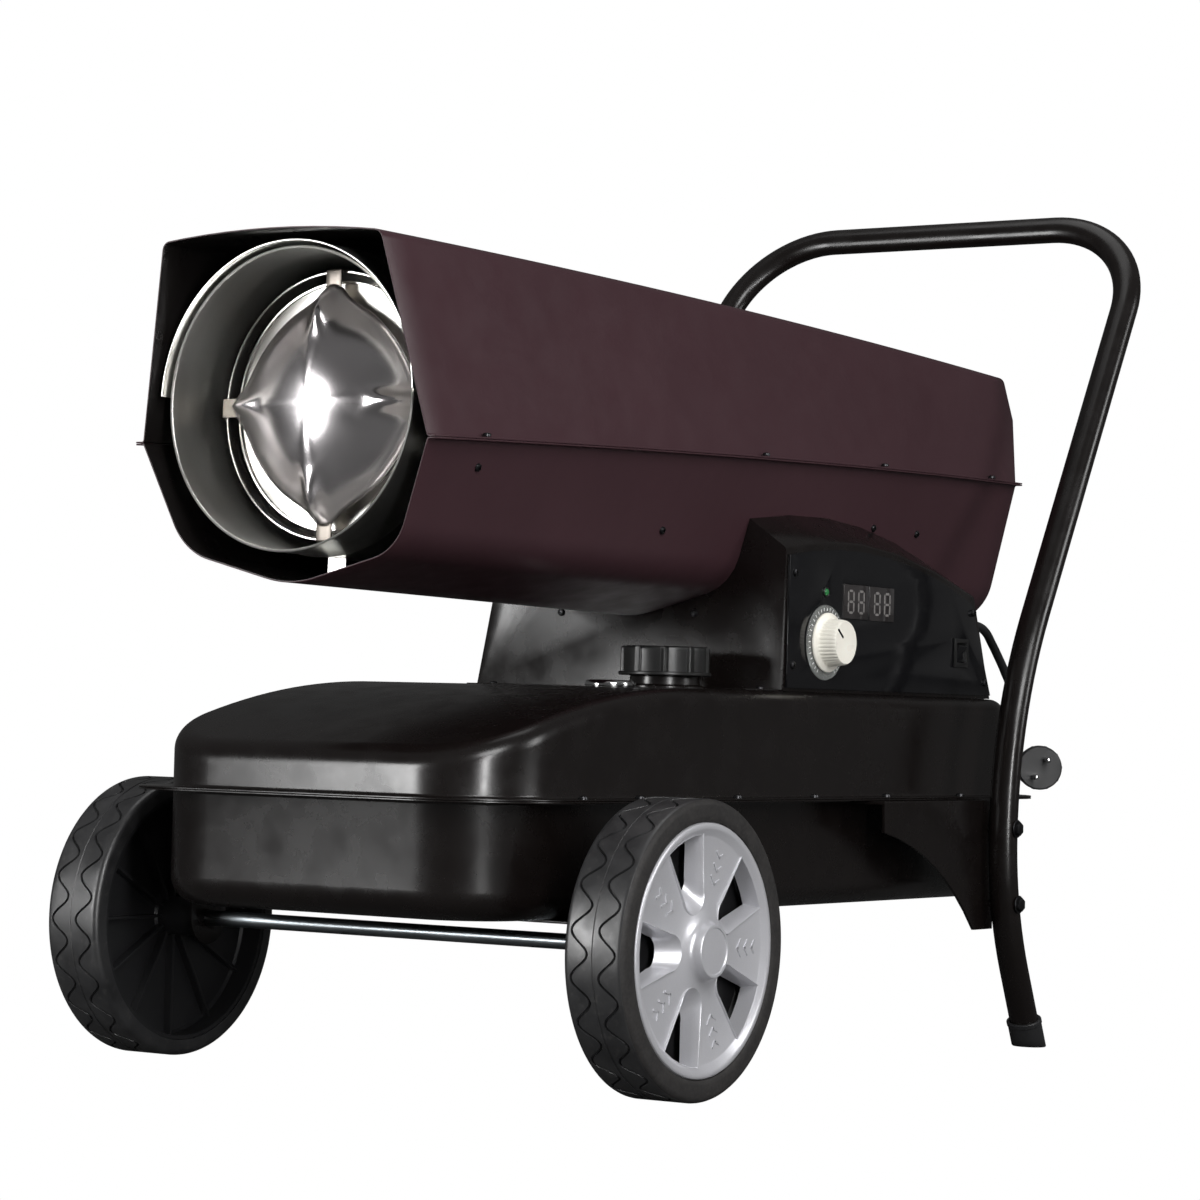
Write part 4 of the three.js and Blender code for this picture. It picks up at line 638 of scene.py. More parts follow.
def smoked_window():
    smoked = Finish("smoked window", (0.030, 0.028, 0.028), 0.08, 0.0, Coat_Weight=0.6)
    stops = [(0.3, (0.026, 0.024, 0.024)), (0.7, (0.040, 0.036, 0.036))]
    smoked.colour(smoked.ramp(smoked.noise(9, 2.0), stops))
    return smoked.worn((11, 4.0), (0.05, 0.14), (18, 2.0), 0.01)


def board_lacquer():
    lacquer = Finish("board lacquer", (0.03, 0.14, 0.06), 0.35)
    tracks = lacquer.cells(4)
    lacquer.colour(lacquer.ramp(tracks, [(0.4, (0.025, 0.12, 0.05)), (0.6, (0.05, 0.20, 0.08))]))
    return lacquer.worn((6, 3.0), (0.28, 0.44), (2, 2.0), 0.03)


shell_paint = powder_coat("brown powder coat", (0.047, 0.022, 0.027), 0.34, 1.5, 0.010, 0.30, 1.10)
# near-black finish for the shells' inner faces: painted shade for the unlit inside of the barrel
shell_inner_shade = powder_coat("painted inner shade", (0.0060, 0.0050, 0.0048), 0.30, 1.5, 0.006, 0.5)
black_paint = powder_coat("black powder coat", (0.0050, 0.0036, 0.0033), 0.25, 2.0, 0.004, 0.5)
frame_paint = powder_coat("black tube paint", (0.0055, 0.0040, 0.0036), 0.24, 1.1, 0.005, 0.5)
gloss_black = moulded("gloss black plastic", (0.0060, 0.0060, 0.0068), 0.13, 6.0, 0.006, 0.5, 0.05)
black_plastic = moulded("black plastic", (0.010, 0.010, 0.010), 0.34, 0.45, 0.015)
rim_plastic = moulded("wheel plastic", (0.012, 0.012, 0.013), 0.42, 0.8, 0.03)
ivory_plastic = moulded("ivory plastic", (0.92, 0.89, 0.80), 0.30, 0.6, 0.008, 0.5, 0.02)
cord_rubber = moulded("cord rubber", (0.014, 0.014, 0.015), 0.45, 0.5, 0.02)
hose_rubber = moulded("hose rubber", (0.018, 0.018, 0.019), 0.55, 0.8, 0.03)
white_print = moulded("white ink", (0.70, 0.70, 0.69), 0.5, 0.4, 0.004, 0.4, 0.04)
red_plastic = moulded("dull red segments", (0.10, 0.012, 0.010), 0.4, 0.5, 0.004, 0.4, 0.02)
green_lens = moulded("green lens", (0.02, 0.16, 0.045), 0.18, 0.8, 0.006, 0.6, 0.02)
SOFT_LINES, SOFT_DEPTH = (60, 6, 6), 0.0008
bright_steel = rolled_steel(
    "casing steel", (0.93, 0.93, 0.89), 0.33, (0.84, 0.80, 0.74), SOFT_LINES, SOFT_DEPTH
)
chamber_steel = rolled_steel(
    "chamber steel", (0.80, 0.79, 0.76), 0.28, (0.66, 0.61, 0.56), SOFT_LINES, SOFT_DEPTH
)
screw_steel = rolled_steel("screw steel", (0.055, 0.055, 0.058), 0.34, None, (300, 300, 300))
clip_steel = rolled_steel("clip steel", (0.20, 0.18, 0.16), 0.36, None, (220, 9, 9), 0.003)
chrome_ring = rolled_steel("bright ring", (0.72, 0.72, 0.72), 0.12, None, (40, 40, 400), 0.002)
aluminium = rolled_steel("cast aluminium", (0.52, 0.53, 0.54), 0.42, None, (300, 300, 300), 0.02)
brass = rolled_steel("turned brass", (0.60, 0.44, 0.20), 0.28, None, (700, 20, 20))
zinc_plate = galvanised("zinc plate", (0.50, 0.50, 0.51), 0.34)
tread_rubber = tyre_rubber()
wall_rubber = side_rubber()
hub_paint = silver_paint()
diffuser_sheet = polished_sheet()
axle_zinc = zinc_rod()
clear_moulding = see_through()
smoked = smoked_window()
board_green = board_lacquer()
white_card = moulded("gauge card", (0.62, 0.62, 0.60), 0.5, 0.6, 0.004, 0.4, 0.06)
segment_grey = moulded("unlit segments", (0.20, 0.19, 0.185), 0.3, 0.6, 0.004, 0.5, 0.02)

# ---------------------------------------------------------------- camera
CAMERA_PLACE = (-2.6045, -1.6773, 0.2790)
CAMERA_LENS, CAMERA_SENSOR = 111.0, 36
view_camera = add_object("photo camera", bpy.data.cameras.new("photo camera"))
view_camera.data.sensor_width = CAMERA_SENSOR
view_camera.data.lens = CAMERA_LENS
view_camera.data.clip_start, view_camera.data.clip_end = 0.05, 60
sight = Vector((0.83342, 0.55176, 0.03080)).normalized()
rightward = Vector((0.55117, -0.83398, 0.02599))
rightward = (rightward - sight * rightward.dot(sight)).normalized()
upward = rightward.cross(sight)
stand = Matrix((rightward, upward, -sight)).transposed().to_4x4()
view_camera.matrix_world = Matrix.Translation(CAMERA_PLACE) @ stand
bpy.context.scene.camera = view_camera
bpy.context.scene.view_settings.view_transform = "Standard"


# ---------------------------------------------------------------- supply cord
def housing_rear_at(z):
    """X of the housing's leaning rear face."""
    return HOUSING_REAR - HOUSING_LEAN * (z - SEAT)


GLAND_Y, GLAND_Z, GLAND_LENGTH = -118, 350, 19.5
LEAD_STEPS, TAIL_STEPS = 11, 24
rear_normal = Vector((1, 0, HOUSING_LEAN)).normalized()
gland_place = Vector((housing_rear_at(GLAND_Z), GLAND_Y, GLAND_Z))
gland_tip = gland_place + rear_normal * GLAND_LENGTH
lead_points = [
    gland_tip + rear_normal * CLEARANCE,
    (666, -118.2, 361), (681.7, -117.5, 366.9), (706, -117, 365), (730, -115, 351),
    (752, -113.5, 333), (771.1, -112, 314), (778.2, -104.1, 294), (776.2, -94.8, 276),
    (772.2, -92.3, 262), (772, -92, 241),
]
tail_points = [
    (743.8, -92, 196), (743.8, -92, 181), (743.8, -92, 157), (750.2, -87.6, 133.1),
    (767, -76.1, 118.3), (787.8, -61.9, 118.3), (804.6, -50.4, 133.1), (811, -46, 157),
    (813, -56, 190), (818, -80, 224), (809.1, -110.4, 236.6), (792.5, -127.4, 242.1),
    (785, -132.4, 241.8),
]


def hank_route(start, end):
    """Racetrack loops wound towards the housing, entered and left on their -Y side."""
    near, far = HANK_Y - HANK_HALF_WIDTH, HANK_Y + HANK_HALF_WIDTH
    arc_centre = HANK_HALF_HEIGHT - HANK_HALF_WIDTH
    straight, bend = 2 * arc_centre, math.pi * HANK_HALF_WIDTH
    spans = (straight, bend, straight, bend)
    loop_length = sum(spans)
    bends = [k / 9 + 1 / 9 for k in range(9)]
    stops = ([0, 0.5, 1] + [1 + b for b in bends] + [2.5, 3] + [3 + b for b in bends])[:-1]
    start_run = HANK_Z + arc_centre - start
    end_run = HANK_TURNS * loop_length + HANK_Z + arc_centre - end
    ease = 2.2 * CORD_RADIUS
    route = [(near, start, 0), (near, start - ease, 0)]
    for turn in range(HANK_TURNS + 1):
        for stop in stops:
            part, share = int(stop) % 4, stop - int(stop)
            angle = math.pi * share
            y = (near, HANK_Y - HANK_HALF_WIDTH * math.cos(angle), far,
                 HANK_Y + HANK_HALF_WIDTH * math.cos(angle))[part]
            z = (HANK_Z + arc_centre - straight * share,
                 HANK_Z - arc_centre - HANK_HALF_WIDTH * math.sin(angle),
                 HANK_Z - arc_centre + straight * share,
                 HANK_Z + arc_centre + HANK_HALF_WIDTH * math.sin(angle))[part]
            run = turn * loop_length + sum(spans[:part]) + spans[part] * share
            if start_run + ease + 4 < run < end_run - ease - 4:
                route.append((y, z, (run - start_run - ease) / (end_run - start_run - 2 * ease)))
    route += [(near, end + ease, 1), (near, end, 1)]
    return [Vector((HANK_X - s * HANK_PITCH * HANK_TURNS, y, z)) for y, z, s in route]


def supply_cord():
    """One open curve from the gland, round the hank on its hook, to the plug."""
    lead = through(lead_points, LEAD_STEPS)
    hank = hank_route(lead_points[-1][2] - CLEARANCE, tail_points[0][2] + CLEARANCE)
    tail = through(tail_points, TAIL_STEPS)
    route = [to_part(p) for p in [*lead[:-1], *hank, *tail[1:]]]
    curve = bpy.data.curves.new("supply_cord", "CURVE")
    curve.dimensions = "3D"
    curve.bevel_depth = CORD_RADIUS / 1000
    curve.bevel_resolution = 5
    curve.resolution_u = 6
    curve.use_fill_caps = True
    spline = curve.splines.new("BEZIER")
    spline.bezier_points.add(len(route) - 1)
    for point, place in zip(spline.bezier_points, route):
        point.co = place
        point.handle_left_type = point.handle_right_type = "AUTO"
    return add_object("supply_cord", curve)


def cord_gland():
    """Strain relief: a nut against the housing and a ribbed sleeve that tapers to the cord."""
    sleeve = [(5.2, -8), (8, -8), (8, 0.4), (11.6, 0.4), (12, 0.8), (12, 6.6), (11.4, 7.2),
              (10, 8.4)]
    for k in range(5):
        foot = 9.2 + k * 2.0
        wide = 9.2 - k * 0.62
        sleeve += [(wide, foot), (wide - 0.2, foot + 1.1), (wide - 1.4, foot + 1.3),
                   (wide - 1.5, foot + 1.9)]
    sleeve += [(5.4, GLAND_LENGTH - 0.1), (4.4, GLAND_LENGTH), (4.2, 18), (4.2, -8)]
    nut = [(0, 0.6), (12.4, 0.6), (12.4, 6.4), (0, 6.4)]
    place = toward(rear_normal, gland_place)
    return piece("cord_gland_sleeve", [lathe(sleeve, 40, place), lathe(nut, 6, place)],
                 black_plastic, "cord_gland", bevel=0.25)


PIN_SPACING = 19


def plug_piece():
    """Round two-pin plug with a ribbed bend sleeve, a grip collar and slotted pins."""
    axis = Vector((-0.833, -0.552, -0.03)).normalized()
    place = toward(axis, Vector(tail_points[-1]) + axis * CLEARANCE)
    body = [(4.1, 0.6), (5.8, 0.2), (6.1, 1.0)]
    for k in range(4):
        foot = 1.6 + 2.4 * k
        wide = 0.25 * k
        body += [(6.2 + wide, foot), (6.2 + wide, foot + 1.3), (5.3 + wide, foot + 1.6),
                 (5.3 + wide, foot + 2.2)]
    body += [(7.4, 11.6), (9.6, 14.8), (13.4, 20), (17.2, 26), (19.4, 31.2), (20, 33.5),
             (20, 42.2), (19.6, 43.3), (18.6, 44), (0, 44)]
    shell = turned([(0, 0.8), *body], 56)
    pin = [(0, 42), (2.4, 42), (2.4, 59.8), (2.1, 61.6), (1.3, 62.8), (0, 63)]
    pins = [lathe(pin, 24, Matrix.Translation((side * PIN_SPACING / 2, 0, 0))) for side in (1, -1)]
    grips = []
    for k in range(10):
        angle = FULL_TURN * (k + 0.5) / 10
        if abs(math.sin(angle)) > 0.25:
            grip = block(18.8, 20.3, -1.1, 1.1, 33.5, 42)
            grips.append(moved(grip, Matrix.Rotation(angle, 4, "Z")))
    made = piece("plug_body", [moved(f, place) for f in [shell, *grips]],
                 cord_rubber, "plug", bevel=0.3)
    ends = piece("plug_pins", [moved(f, place) for f in pins], chrome_ring)
    return [made, ends]


def hank_tie():
    """Flat tie round the strands of the hank's far run."""
    middle = Vector((HANK_X - HANK_PITCH * HANK_TURNS / 2, HANK_Y + HANK_HALF_WIDTH, HANK_Z))
    half_x, half_y = HANK_PITCH * (HANK_TURNS - 1) / 2 + 6.2, 5.3
    turn = (4.6, 6)
    loop = rounded([(half_x, half_y, *turn), (-half_x, half_y, *turn),
                    (-half_x, -half_y, *turn), (half_x, -half_y, *turn)])
    inner = offset_line(loop, 1.0, True)
    if max(p.x for p in inner) > max(p.x for p in loop):
        inner = offset_line(loop, -1.0, True)
    rings = []
    for line, z in ((loop, -3.2), (loop, 3.2), (inner, 3.2), (inner, -3.2), (loop, -3.2)):
        rings.append([(middle.x + p.x, middle.y + p.y, middle.z + z) for p in line])
    x, y, z = middle
    lock = block(x - 4, x + 4, y + 4.8, y + 9.2, z - 4.2, z + 4.2)
    tail = block(x - 12, x + 3, y + 6.0, y + 7.2, z - 2.6, z + 2.6)
    return piece("hank_tie", [loft(rings, False), lock, tail], black_plastic,
                 bevel=0.25)


flex = supply_cord()
finish_piece(flex, cord_rubber, "heater", ("cord_lead", "cord_hank", "cord_tail"))
cord_pieces = [cord_gland(), *plug_piece(), hank_tie()]


# ---------------------------------------------------------------- copies placed by Geometry Nodes
def new_tree(name, inputs):
    tree = bpy.data.node_groups.new(name, "GeometryNodeTree")
    tree.interface.new_socket("Geometry", in_out="INPUT", socket_type="NodeSocketGeometry")
    for label, kind in inputs:
        tree.interface.new_socket(label, in_out="INPUT", socket_type=kind)
    tree.interface.new_socket("Geometry", in_out="OUTPUT", socket_type="NodeSocketGeometry")
    return tree, tree.nodes.new("NodeGroupInput"), tree.nodes.new("NodeGroupOutput")


def turned_about_z(tree, angle):
    return add_node(tree, "FunctionNodeAxisAngleToRotation", {"Axis": (0, 0, 1), "Angle": angle})


def close_tree(tree, copies, start, end):
    """Ends a tree in real geometry with one finish."""
    real = add_node(tree, "GeometryNodeRealizeInstances", {"Geometry": copies.outputs["Instances"]})
    paint = add_node(tree, "GeometryNodeSetMaterial", {
        "Geometry": real.outputs["Geometry"], "Material": start.outputs["Finish"],
    })
    tree.links.new(paint.outputs["Geometry"], end.inputs[0])
    return tree


def placing_tree():
    """One copy at every point, its Z along the point's aim and turned by its spin."""
    tree, start, end = new_tree("fasteners at points", [
        ("Fastener", "NodeSocketObject"), ("Size", "NodeSocketFloat"),
        ("Finish", "NodeSocketMaterial"),
    ])
    fastener = add_node(tree, "GeometryNodeObjectInfo", {"Object": start.outputs["Fastener"]})
    aim, spin = (
        add_node(tree, "GeometryNodeInputNamedAttribute", {"Name": name}, data_type=kind)
        for name, kind in (("aim", "FLOAT_VECTOR"), ("spin", "FLOAT"))
    )
    faced = add_node(tree, "FunctionNodeAlignRotationToVector",
                     {"Vector": aim.outputs["Attribute"]}, axis="Z")
    about = turned_about_z(tree, spin.outputs["Attribute"])
    turn = add_node(tree, "FunctionNodeRotateRotation", {
        "Rotation": faced.outputs["Rotation"], "Rotate By": about.outputs["Rotation"],
    }, rotation_space="LOCAL")
    copies = add_node(tree, "GeometryNodeInstanceOnPoints", {
        "Points": start.outputs["Geometry"], "Instance": fastener.outputs["Geometry"],
        "Rotation": turn.outputs["Rotation"], "Scale": start.outputs["Size"],
    })
    return close_tree(tree, copies, start, end)


def round_tree():
    """A count of copies, evenly turned about Z from a first angle."""
    tree, start, end = new_tree("copies round an axis", [
        ("Copy", "NodeSocketObject"), ("Count", "NodeSocketInt"),
        ("First Angle", "NodeSocketFloat"), ("Sweep", "NodeSocketFloat"),
        ("Finish", "NodeSocketMaterial"),
    ])
    copy = add_node(tree, "GeometryNodeObjectInfo", {"Object": start.outputs["Copy"]})
    points = add_node(tree, "GeometryNodePoints", {"Count": start.outputs["Count"]})
    index = tree.nodes.new("GeometryNodeInputIndex")
    share = add_node(tree, "ShaderNodeMath", {
        0: index.outputs[0], 1: start.outputs["Count"],
    }, operation="DIVIDE")
    angle = add_node(tree, "ShaderNodeMath", {
        0: share.outputs[0], 1: start.outputs["Sweep"], 2: start.outputs["First Angle"],
    }, operation="MULTIPLY_ADD")
    copies = add_node(tree, "GeometryNodeInstanceOnPoints", {
        "Points": points.outputs[0], "Instance": copy.outputs["Geometry"],
        "Rotation": turned_about_z(tree, angle.outputs[0]).outputs["Rotation"],
    })
    return close_tree(tree, copies, start, end)


fastener_tree = placing_tree()
ring_tree = round_tree()


def plain_mesh(name, forms, bevel=0.0, smooth=32):
    """A small mesh about the origin, for use as a copy or a tool."""
    made = add_object(name, build_mesh(name, forms, smooth, lambda p: Vector(p) / 1000))
    return soften(made, bevel, smooth=smooth) if bevel else made


def run_tree(name, mesh, tree, values):
    """The plain mesh that a tree makes of a mesh, its inputs set by name."""
    made = add_object(name, mesh)
    nodes = made.modifiers.new("copies", "NODES")
    nodes.node_group = tree
    sockets = {
        item.name: item.identifier
        for item in tree.interface.items_tree
        if item.item_type == "SOCKET" and item.in_out == "INPUT"
    }
    for label, value in values.items():
        nodes[sockets[label]] = value
    return settle(made)


def fasten(name, copy, places, finish, size=1.0):
    """Copies of a fastener at (place, aim, spin) triples, as one piece."""
    mesh = bpy.data.meshes.new(name)
    mesh.from_pydata([to_part(place) for place, _, _ in places], [], [])
    mesh.attributes.new("aim", "FLOAT_VECTOR", "POINT")
    mesh.attributes.new("spin", "FLOAT", "POINT")
    for i, (_, aim, spin) in enumerate(places):
        mesh.attributes["aim"].data[i].vector = Vector(aim).normalized()
        mesh.attributes["spin"].data[i].value = spin
    values = {"Fastener": copy, "Size": size, "Finish": finish}
    made = run_tree(name, mesh, fastener_tree, values)
    made.data.materials.clear()
    return finish_piece(made, finish, "heater")


def ring_of(name, copy, count, finish, first=0.0, sweep=FULL_TURN):
    """The form of copies round Z, in millimetres, for joining into a piece."""
    made = run_tree(name, bpy.data.meshes.new(name), ring_tree, {
        "Copy": copy, "Count": count, "First Angle": first, "Sweep": sweep, "Finish": finish,
    })
    points = [tuple(v.co * 1000) for v in made.data.vertices]
    faces = [tuple(p.vertices) for p in made.data.polygons]
    bpy.data.objects.remove(made)
    bpy.data.objects.remove(copy)
    return points, faces


# ---------------------------------------------------------------- barrel
def mix(a, b, t):
    return a + (b - a) * t


def seam_at(t):
    return mix(*SEAM_Z, 1 - (1 - t) ** 1.6)


def top_at(t):
    return mix(*TOP_Z, t * t)


def upper_line(t):
    """Outer face of the upper shell at a station, from the +Y seam to the -Y one."""
    seam, top = seam_at(t), top_at(t)
    edge = mix(*TOP_HALF, t)
    shoulder = seam + SHOULDER_SHARE * (top - seam)
    right = [(mix(*SEAM_HALF, t), seam), (mix(*SHOULDER_HALF, t), shoulder), (edge, top, 8, 7)]
    crown = [(edge * s, top + CROWN_RISE * (1 - s * s)) for s in (0.8, 0.6, 0.4, 0.2)]
    left = [(-c[0], *c[1:]) for c in reversed([*right, *crown])]
    return rounded([*right, *crown, (0, top + CROWN_RISE), *left])


def lower_line(t):
    """Outer face of the lower shell at a station, from the +Y seam round the bottom."""
    corner = (mix(*FLANK_FOOT_HALF, t), mix(*FLANK_FOOT_Z, t), 45, 12)
    root = (mix(*SEAM_HALF, t), seam_at(t))
    mirrored = [(-c[0], *c[1:]) for c in (corner, root)]
    return rounded([root, corner, (0, mix(*BOTTOM_Z, t), 90, 12), *mirrored])


def on_station(t, line):
    """The (y, z) line at its place along the barrel, whose front end leans."""
    front = mix(BARREL_FRONT, BARREL_REAR, t)
    return [(front - BARREL_LEAN * (1 - t) * (p.y - seam_at(t)), p.x, p.y) for p in line]


def lipped(line, lip_z):
    """The line with both ends turned outwards into the seam's level lips."""
    root = line[0].x
    tip = root + SEAM_LIP
    corner = rounded([(tip, lip_z), (root, lip_z, 1.6, 4), tuple(line[1])])
    inner = [Vector(p) for p in line[2:-2]]
    left = [Vector((-p.x, p.y)) for p in reversed(corner)]
    return [*corner[:-1], Vector(line[1]), *inner, Vector(line[-2]), *left[1:]]


def half_shell(line_at, lip_shift):
    """One shell of the barrel: its line at every station, lipped at the seam, and its wall."""
    outer, inner = [], []
    side = SHEET if lip_shift > 0 else -SHEET
    for k in range(BARREL_STATIONS + 1):
        t = k / BARREL_STATIONS
        line = lipped(line_at(t), seam_at(t) + lip_shift)
        outer.append(on_station(t, line))
        inner.append(on_station(t, offset_line(line, side)))
    return bent_sheet(outer, inner)


lip_gap = CLEARANCE / 2
barrel_axis = Vector((0, 0, 0.485))  # in the part's metres
for shell, line_at, shift in (("upper_shell", upper_line, lip_gap + SHEET),
                              ("lower_shell", lower_line, -lip_gap - SHEET)):
    sheet = piece(f"{shell}_sheet", [half_shell(line_at, shift)], [shell_paint, shell_inner_shade],
                  shell, bevel=0.28, smooth=26)
    # faces turned towards the barrel's axis take the near-black second finish: painted shade for
    # the dark inside of the barrel
    for polygon in sheet.data.polygons:
        outward = polygon.center - barrel_axis
        faces_axis = polygon.normal.y * outward.y + polygon.normal.z * outward.z < -0.02
        polygon.material_index = 1 if faces_axis else 0


# ---------------------------------------------------------------- hot end
core_place = Matrix.Translation((OUTLET_X, 0, OUTLET_Z)) @ Matrix.Rotation(CORE_TILT, 4, "Y")
along_core = core_place @ Matrix.Rotation(QUARTER_TURN, 4, "Y")


def core_lathe(profile, steps):
    """A turned solid on the burner's axis, its heights from the outlet to the rear."""
    return lathe(profile, steps, along_core)


def outlet_casing():
    """Outlet tube with a rolled front bead, on the solid's own arms and feet."""
    wall = CASING_RADIUS
    ring = [
        (wall, CASING_LENGTH), (wall, 50), (wall + 0.8, 48), (wall, 46), (wall, 2.6),
        (wall + 0.4, 1.6), (wall + 0.3, 0.6), (wall - 0.5, 0.1), (wall - 1.4, 0.5),
        (wall - 1.7, 1.5), (wall - SHEET, 2.6), (wall - SHEET, CASING_LENGTH),
    ]
    carrier = build_mesh("outlet_casing_tube", [solid_form("outlet_casing")])
    made = add_object("outlet_casing_tube", carrier)
    front, rear = -1, CASING_LENGTH + 1
    carve(made, [core_lathe([
        (wall - 4, front), (wall + 0.1, front), (wall + 0.1, rear), (wall - 4, rear),
    ], 96)])
    return piece("outlet_casing_tube", [core_lathe(ring, 128), taken_form(made)],
                 bright_steel, "outlet_casing", smooth=40)


def heat_shield():
    """Half-round sheet over the casing, its front edge hemmed and one bead pressed round it."""

    def arc(radius, x):
        angles = [math.pi * (k / 90 - 0.5) * 0.98 for k in range(91)]
        return [(x, radius * math.sin(a), radius * math.cos(a)) for a in angles]

    front = -SHIELD_LEAD
    lengths = [(front, 0.0), (front + 1.2, 0.5), (front + 3, 0.0), (30, 0.0), (32, 0.7),
               (34, 0.0), (front + SHIELD_LENGTH, 0.0)]
    outer = [arc(SHIELD_RADIUS + g, x) for x, g in lengths]
    inner = [arc(SHIELD_RADIUS - SHEET + g * 0.6, x) for x, g in lengths]
    struts = []
    for angle in (0.6, -0.6):
        strut = block(40, 52, -6, 6, CASING_RADIUS + CLEARANCE, SHIELD_RADIUS - 0.6)
        struts.append(moved(strut, core_place @ Matrix.Rotation(angle, 4, "X")))
    return piece("heat_shield_sheet", [moved(bent_sheet(outer, inner), core_place), *struts],
                 bright_steel, "heat_shield", bevel=0.25, smooth=26)


def combustion_chamber():
    """Chamber tube with rolled rims on itself and on the throat ring inside it."""
    rim, end = CHAMBER_START, CHAMBER_START + CHAMBER_LENGTH
    start = rim + 6
    stop = start + THROAT_LENGTH
    outer, inner, throat = CHAMBER_RADIUS, CHAMBER_RADIUS - SHEET, THROAT_RADIUS
    profile = [
        (outer, rim + 2.4), (outer, end), (45, end), (45, end - SHEET), (inner, end - SHEET),
        (inner, stop + SHEET), (throat - SHEET, stop), (throat - SHEET, start + 1.6),
        (throat - 0.9, start + 0.2), (throat + 0.3, start), (throat + 0.5, start + 1.0),
        (throat, start + 2.0), (throat, stop - SHEET), (inner, stop), (inner, rim + 2.4),
        (outer - 1.6, rim + 1.2), (outer - 1.2, rim + 0.1), (outer - 0.2, rim),
        (outer + 0.2, rim + 1.0),
    ]
    return piece("combustion_chamber_tube", [core_lathe(profile, 128)], chamber_steel,
                 "combustion_chamber", smooth=40)


DIFFUSER_SEAT = CHAMBER_START - 3
FOLD_RISE, FOLD_HALF, FOLD_SPREAD = 7.5, 4.0, 9.0
ARM_HALF_ANGLE = 8.5
RIM_LIP = 1.6
CLIP_SHEET = 1.2


def diffuser_edge(angle):
    """Outline of the pressed star: a near circle drawn out into four narrow arms."""
    off = abs((math.degrees(angle) + 45) % 90 - 45)
    side = DIFFUSER_BODY * (1.035 + 0.015 * math.cos(4 * angle))
    return side + (DIFFUSER_ARM - side) / (1 + (off / ARM_HALF_ANGLE) ** 3)


def smooth_step(value, start, end):
    share = min(max((value - start) / (end - start), 0), 1)
    return share * share * (3 - 2 * share)


def diffuser_star():
    """A round dome whose outer part is drawn up into a raised fold along each arm."""
    count, rows = 192, 34

    def at(angle, share, back):
        off = math.radians((math.degrees(angle) + 45) % 90 - 45)
        radius = diffuser_edge(angle) * share
        dome = DIFFUSER_RISE * (1 - share * share) ** 0.8
        aside = radius * math.sin(off)
        rise = smooth_step(share, 0.5, 0.82) * (1 - 0.6 * smooth_step(share, 0.85, 1.0))
        spread = FOLD_HALF + FOLD_SPREAD * (1 - share)
        fold = FOLD_RISE * math.exp(-((aside / spread) ** 2)) * rise
        lip = RIM_LIP * max(share - 0.93, 0) / 0.07
        front = DIFFUSER_SEAT - dome - fold - lip * (1 - math.exp(-((aside / 9) ** 2))) + back
        return (front, radius * math.sin(angle), radius * math.cos(angle))

    points = [at(0, 0, 0), at(0, 0, SHEET)]
    for back in (0, SHEET):
        for row in range(1, rows + 1):
            points += [at(FULL_TURN * i / count, row / rows, back) for i in range(count)]
    half = rows * count
    faces = []
    for i in range(count):
        j = (i + 1) % count
        faces += [(0, 2 + i, 2 + j), (1, 2 + half + j, 2 + half + i)]
        for row in range(rows - 1):
            a = 2 + row * count
            faces.append((a + i, a + count + i, a + count + j, a + j))
            b = a + half
            faces.append((b + i, b + j, b + count + j, b + count + i))
        a = 2 + (rows - 1) * count
        faces.append((a + i, half + a + i, half + a + j, a + j))
    return moved((points, faces), core_place)


def diffuser_clips():
    """Four bent clips, each spot-welded to an arm and hooked over the chamber's rim."""
    hook = CHAMBER_RADIUS + CLEARANCE
    front = DIFFUSER_SEAT - 1.4
    line = rounded([
        (front, DIFFUSER_ARM - 12), (front, hook + 0.6, 1.4, 5), (CHAMBER_START + 24, hook + 0.6),
    ])
    outer, inner = ([[(p.x, y, p.y) for y in (-7, -2.4, 2.4, 7)] for p in run]
                    for run in (line, offset_line(line, -CLIP_SHEET)))
    clip = bent_sheet(outer, inner)
    return [moved(clip, core_place @ Matrix.Rotation(k * QUARTER_TURN, 4, "X")) for k in range(4)]


outlet_casing()
heat_shield()
combustion_chamber()
piece("flame_diffuser_star", [diffuser_star()], diffuser_sheet,
      "flame_diffuser", smooth=50)
ring_front, ring_back = CHAMBER_START + 8, CHAMBER_START + 9.2
piece("throat_ring_plate", [core_lathe([
    (70, ring_front), (THROAT_RADIUS - SHEET, ring_front), (THROAT_RADIUS - SHEET, ring_back),
    (70, ring_back),
], 128)], chamber_steel, smooth=40)
piece("flame_diffuser_clips", diffuser_clips(), clip_steel, bevel=0.2, smooth=30)
dressed("chamber_support", zinc_plate, bevel=0.25)

head_start = CHAMBER_START + CHAMBER_LENGTH + CLEARANCE
head_end = head_start + HEAD_LENGTH
piece("burner_head_cup", [core_lathe([
    (56, head_start), (56, head_start + 1.5), (39.5, head_start + 1.5), (38, head_start + 3),
    (38, head_end - 3), (36, head_end), (8.3, head_end), (8.3, head_end - 1.5),
    (36.5, head_end - 1.5), (36.5, head_start),
], 80)], zinc_plate, "burner_head", smooth=30)
nut_start, nut_end = head_end + CLEARANCE, head_end + 9
piece("fuel_nozzle_body", [core_lathe([
    (0, head_end - 30), (1, head_end - 30), (3, head_end - 29.6), (6, head_end - 23),
    (8, head_end - 21), (8, nut_start), (5, nut_end), (5, head_end + 27), (4, head_end + 28),
    (0, head_end + 28),
], 40), core_lathe([
    (0, nut_start), (10.6, nut_start), (11.6, head_end + 1.2), (11.6, head_end + 8),
    (10.6, nut_end), (0, nut_end),
], 6)], brass, "fuel_nozzle", smooth=30)
dressed("igniter", ivory_plastic, bevel=0.3, smooth=50)

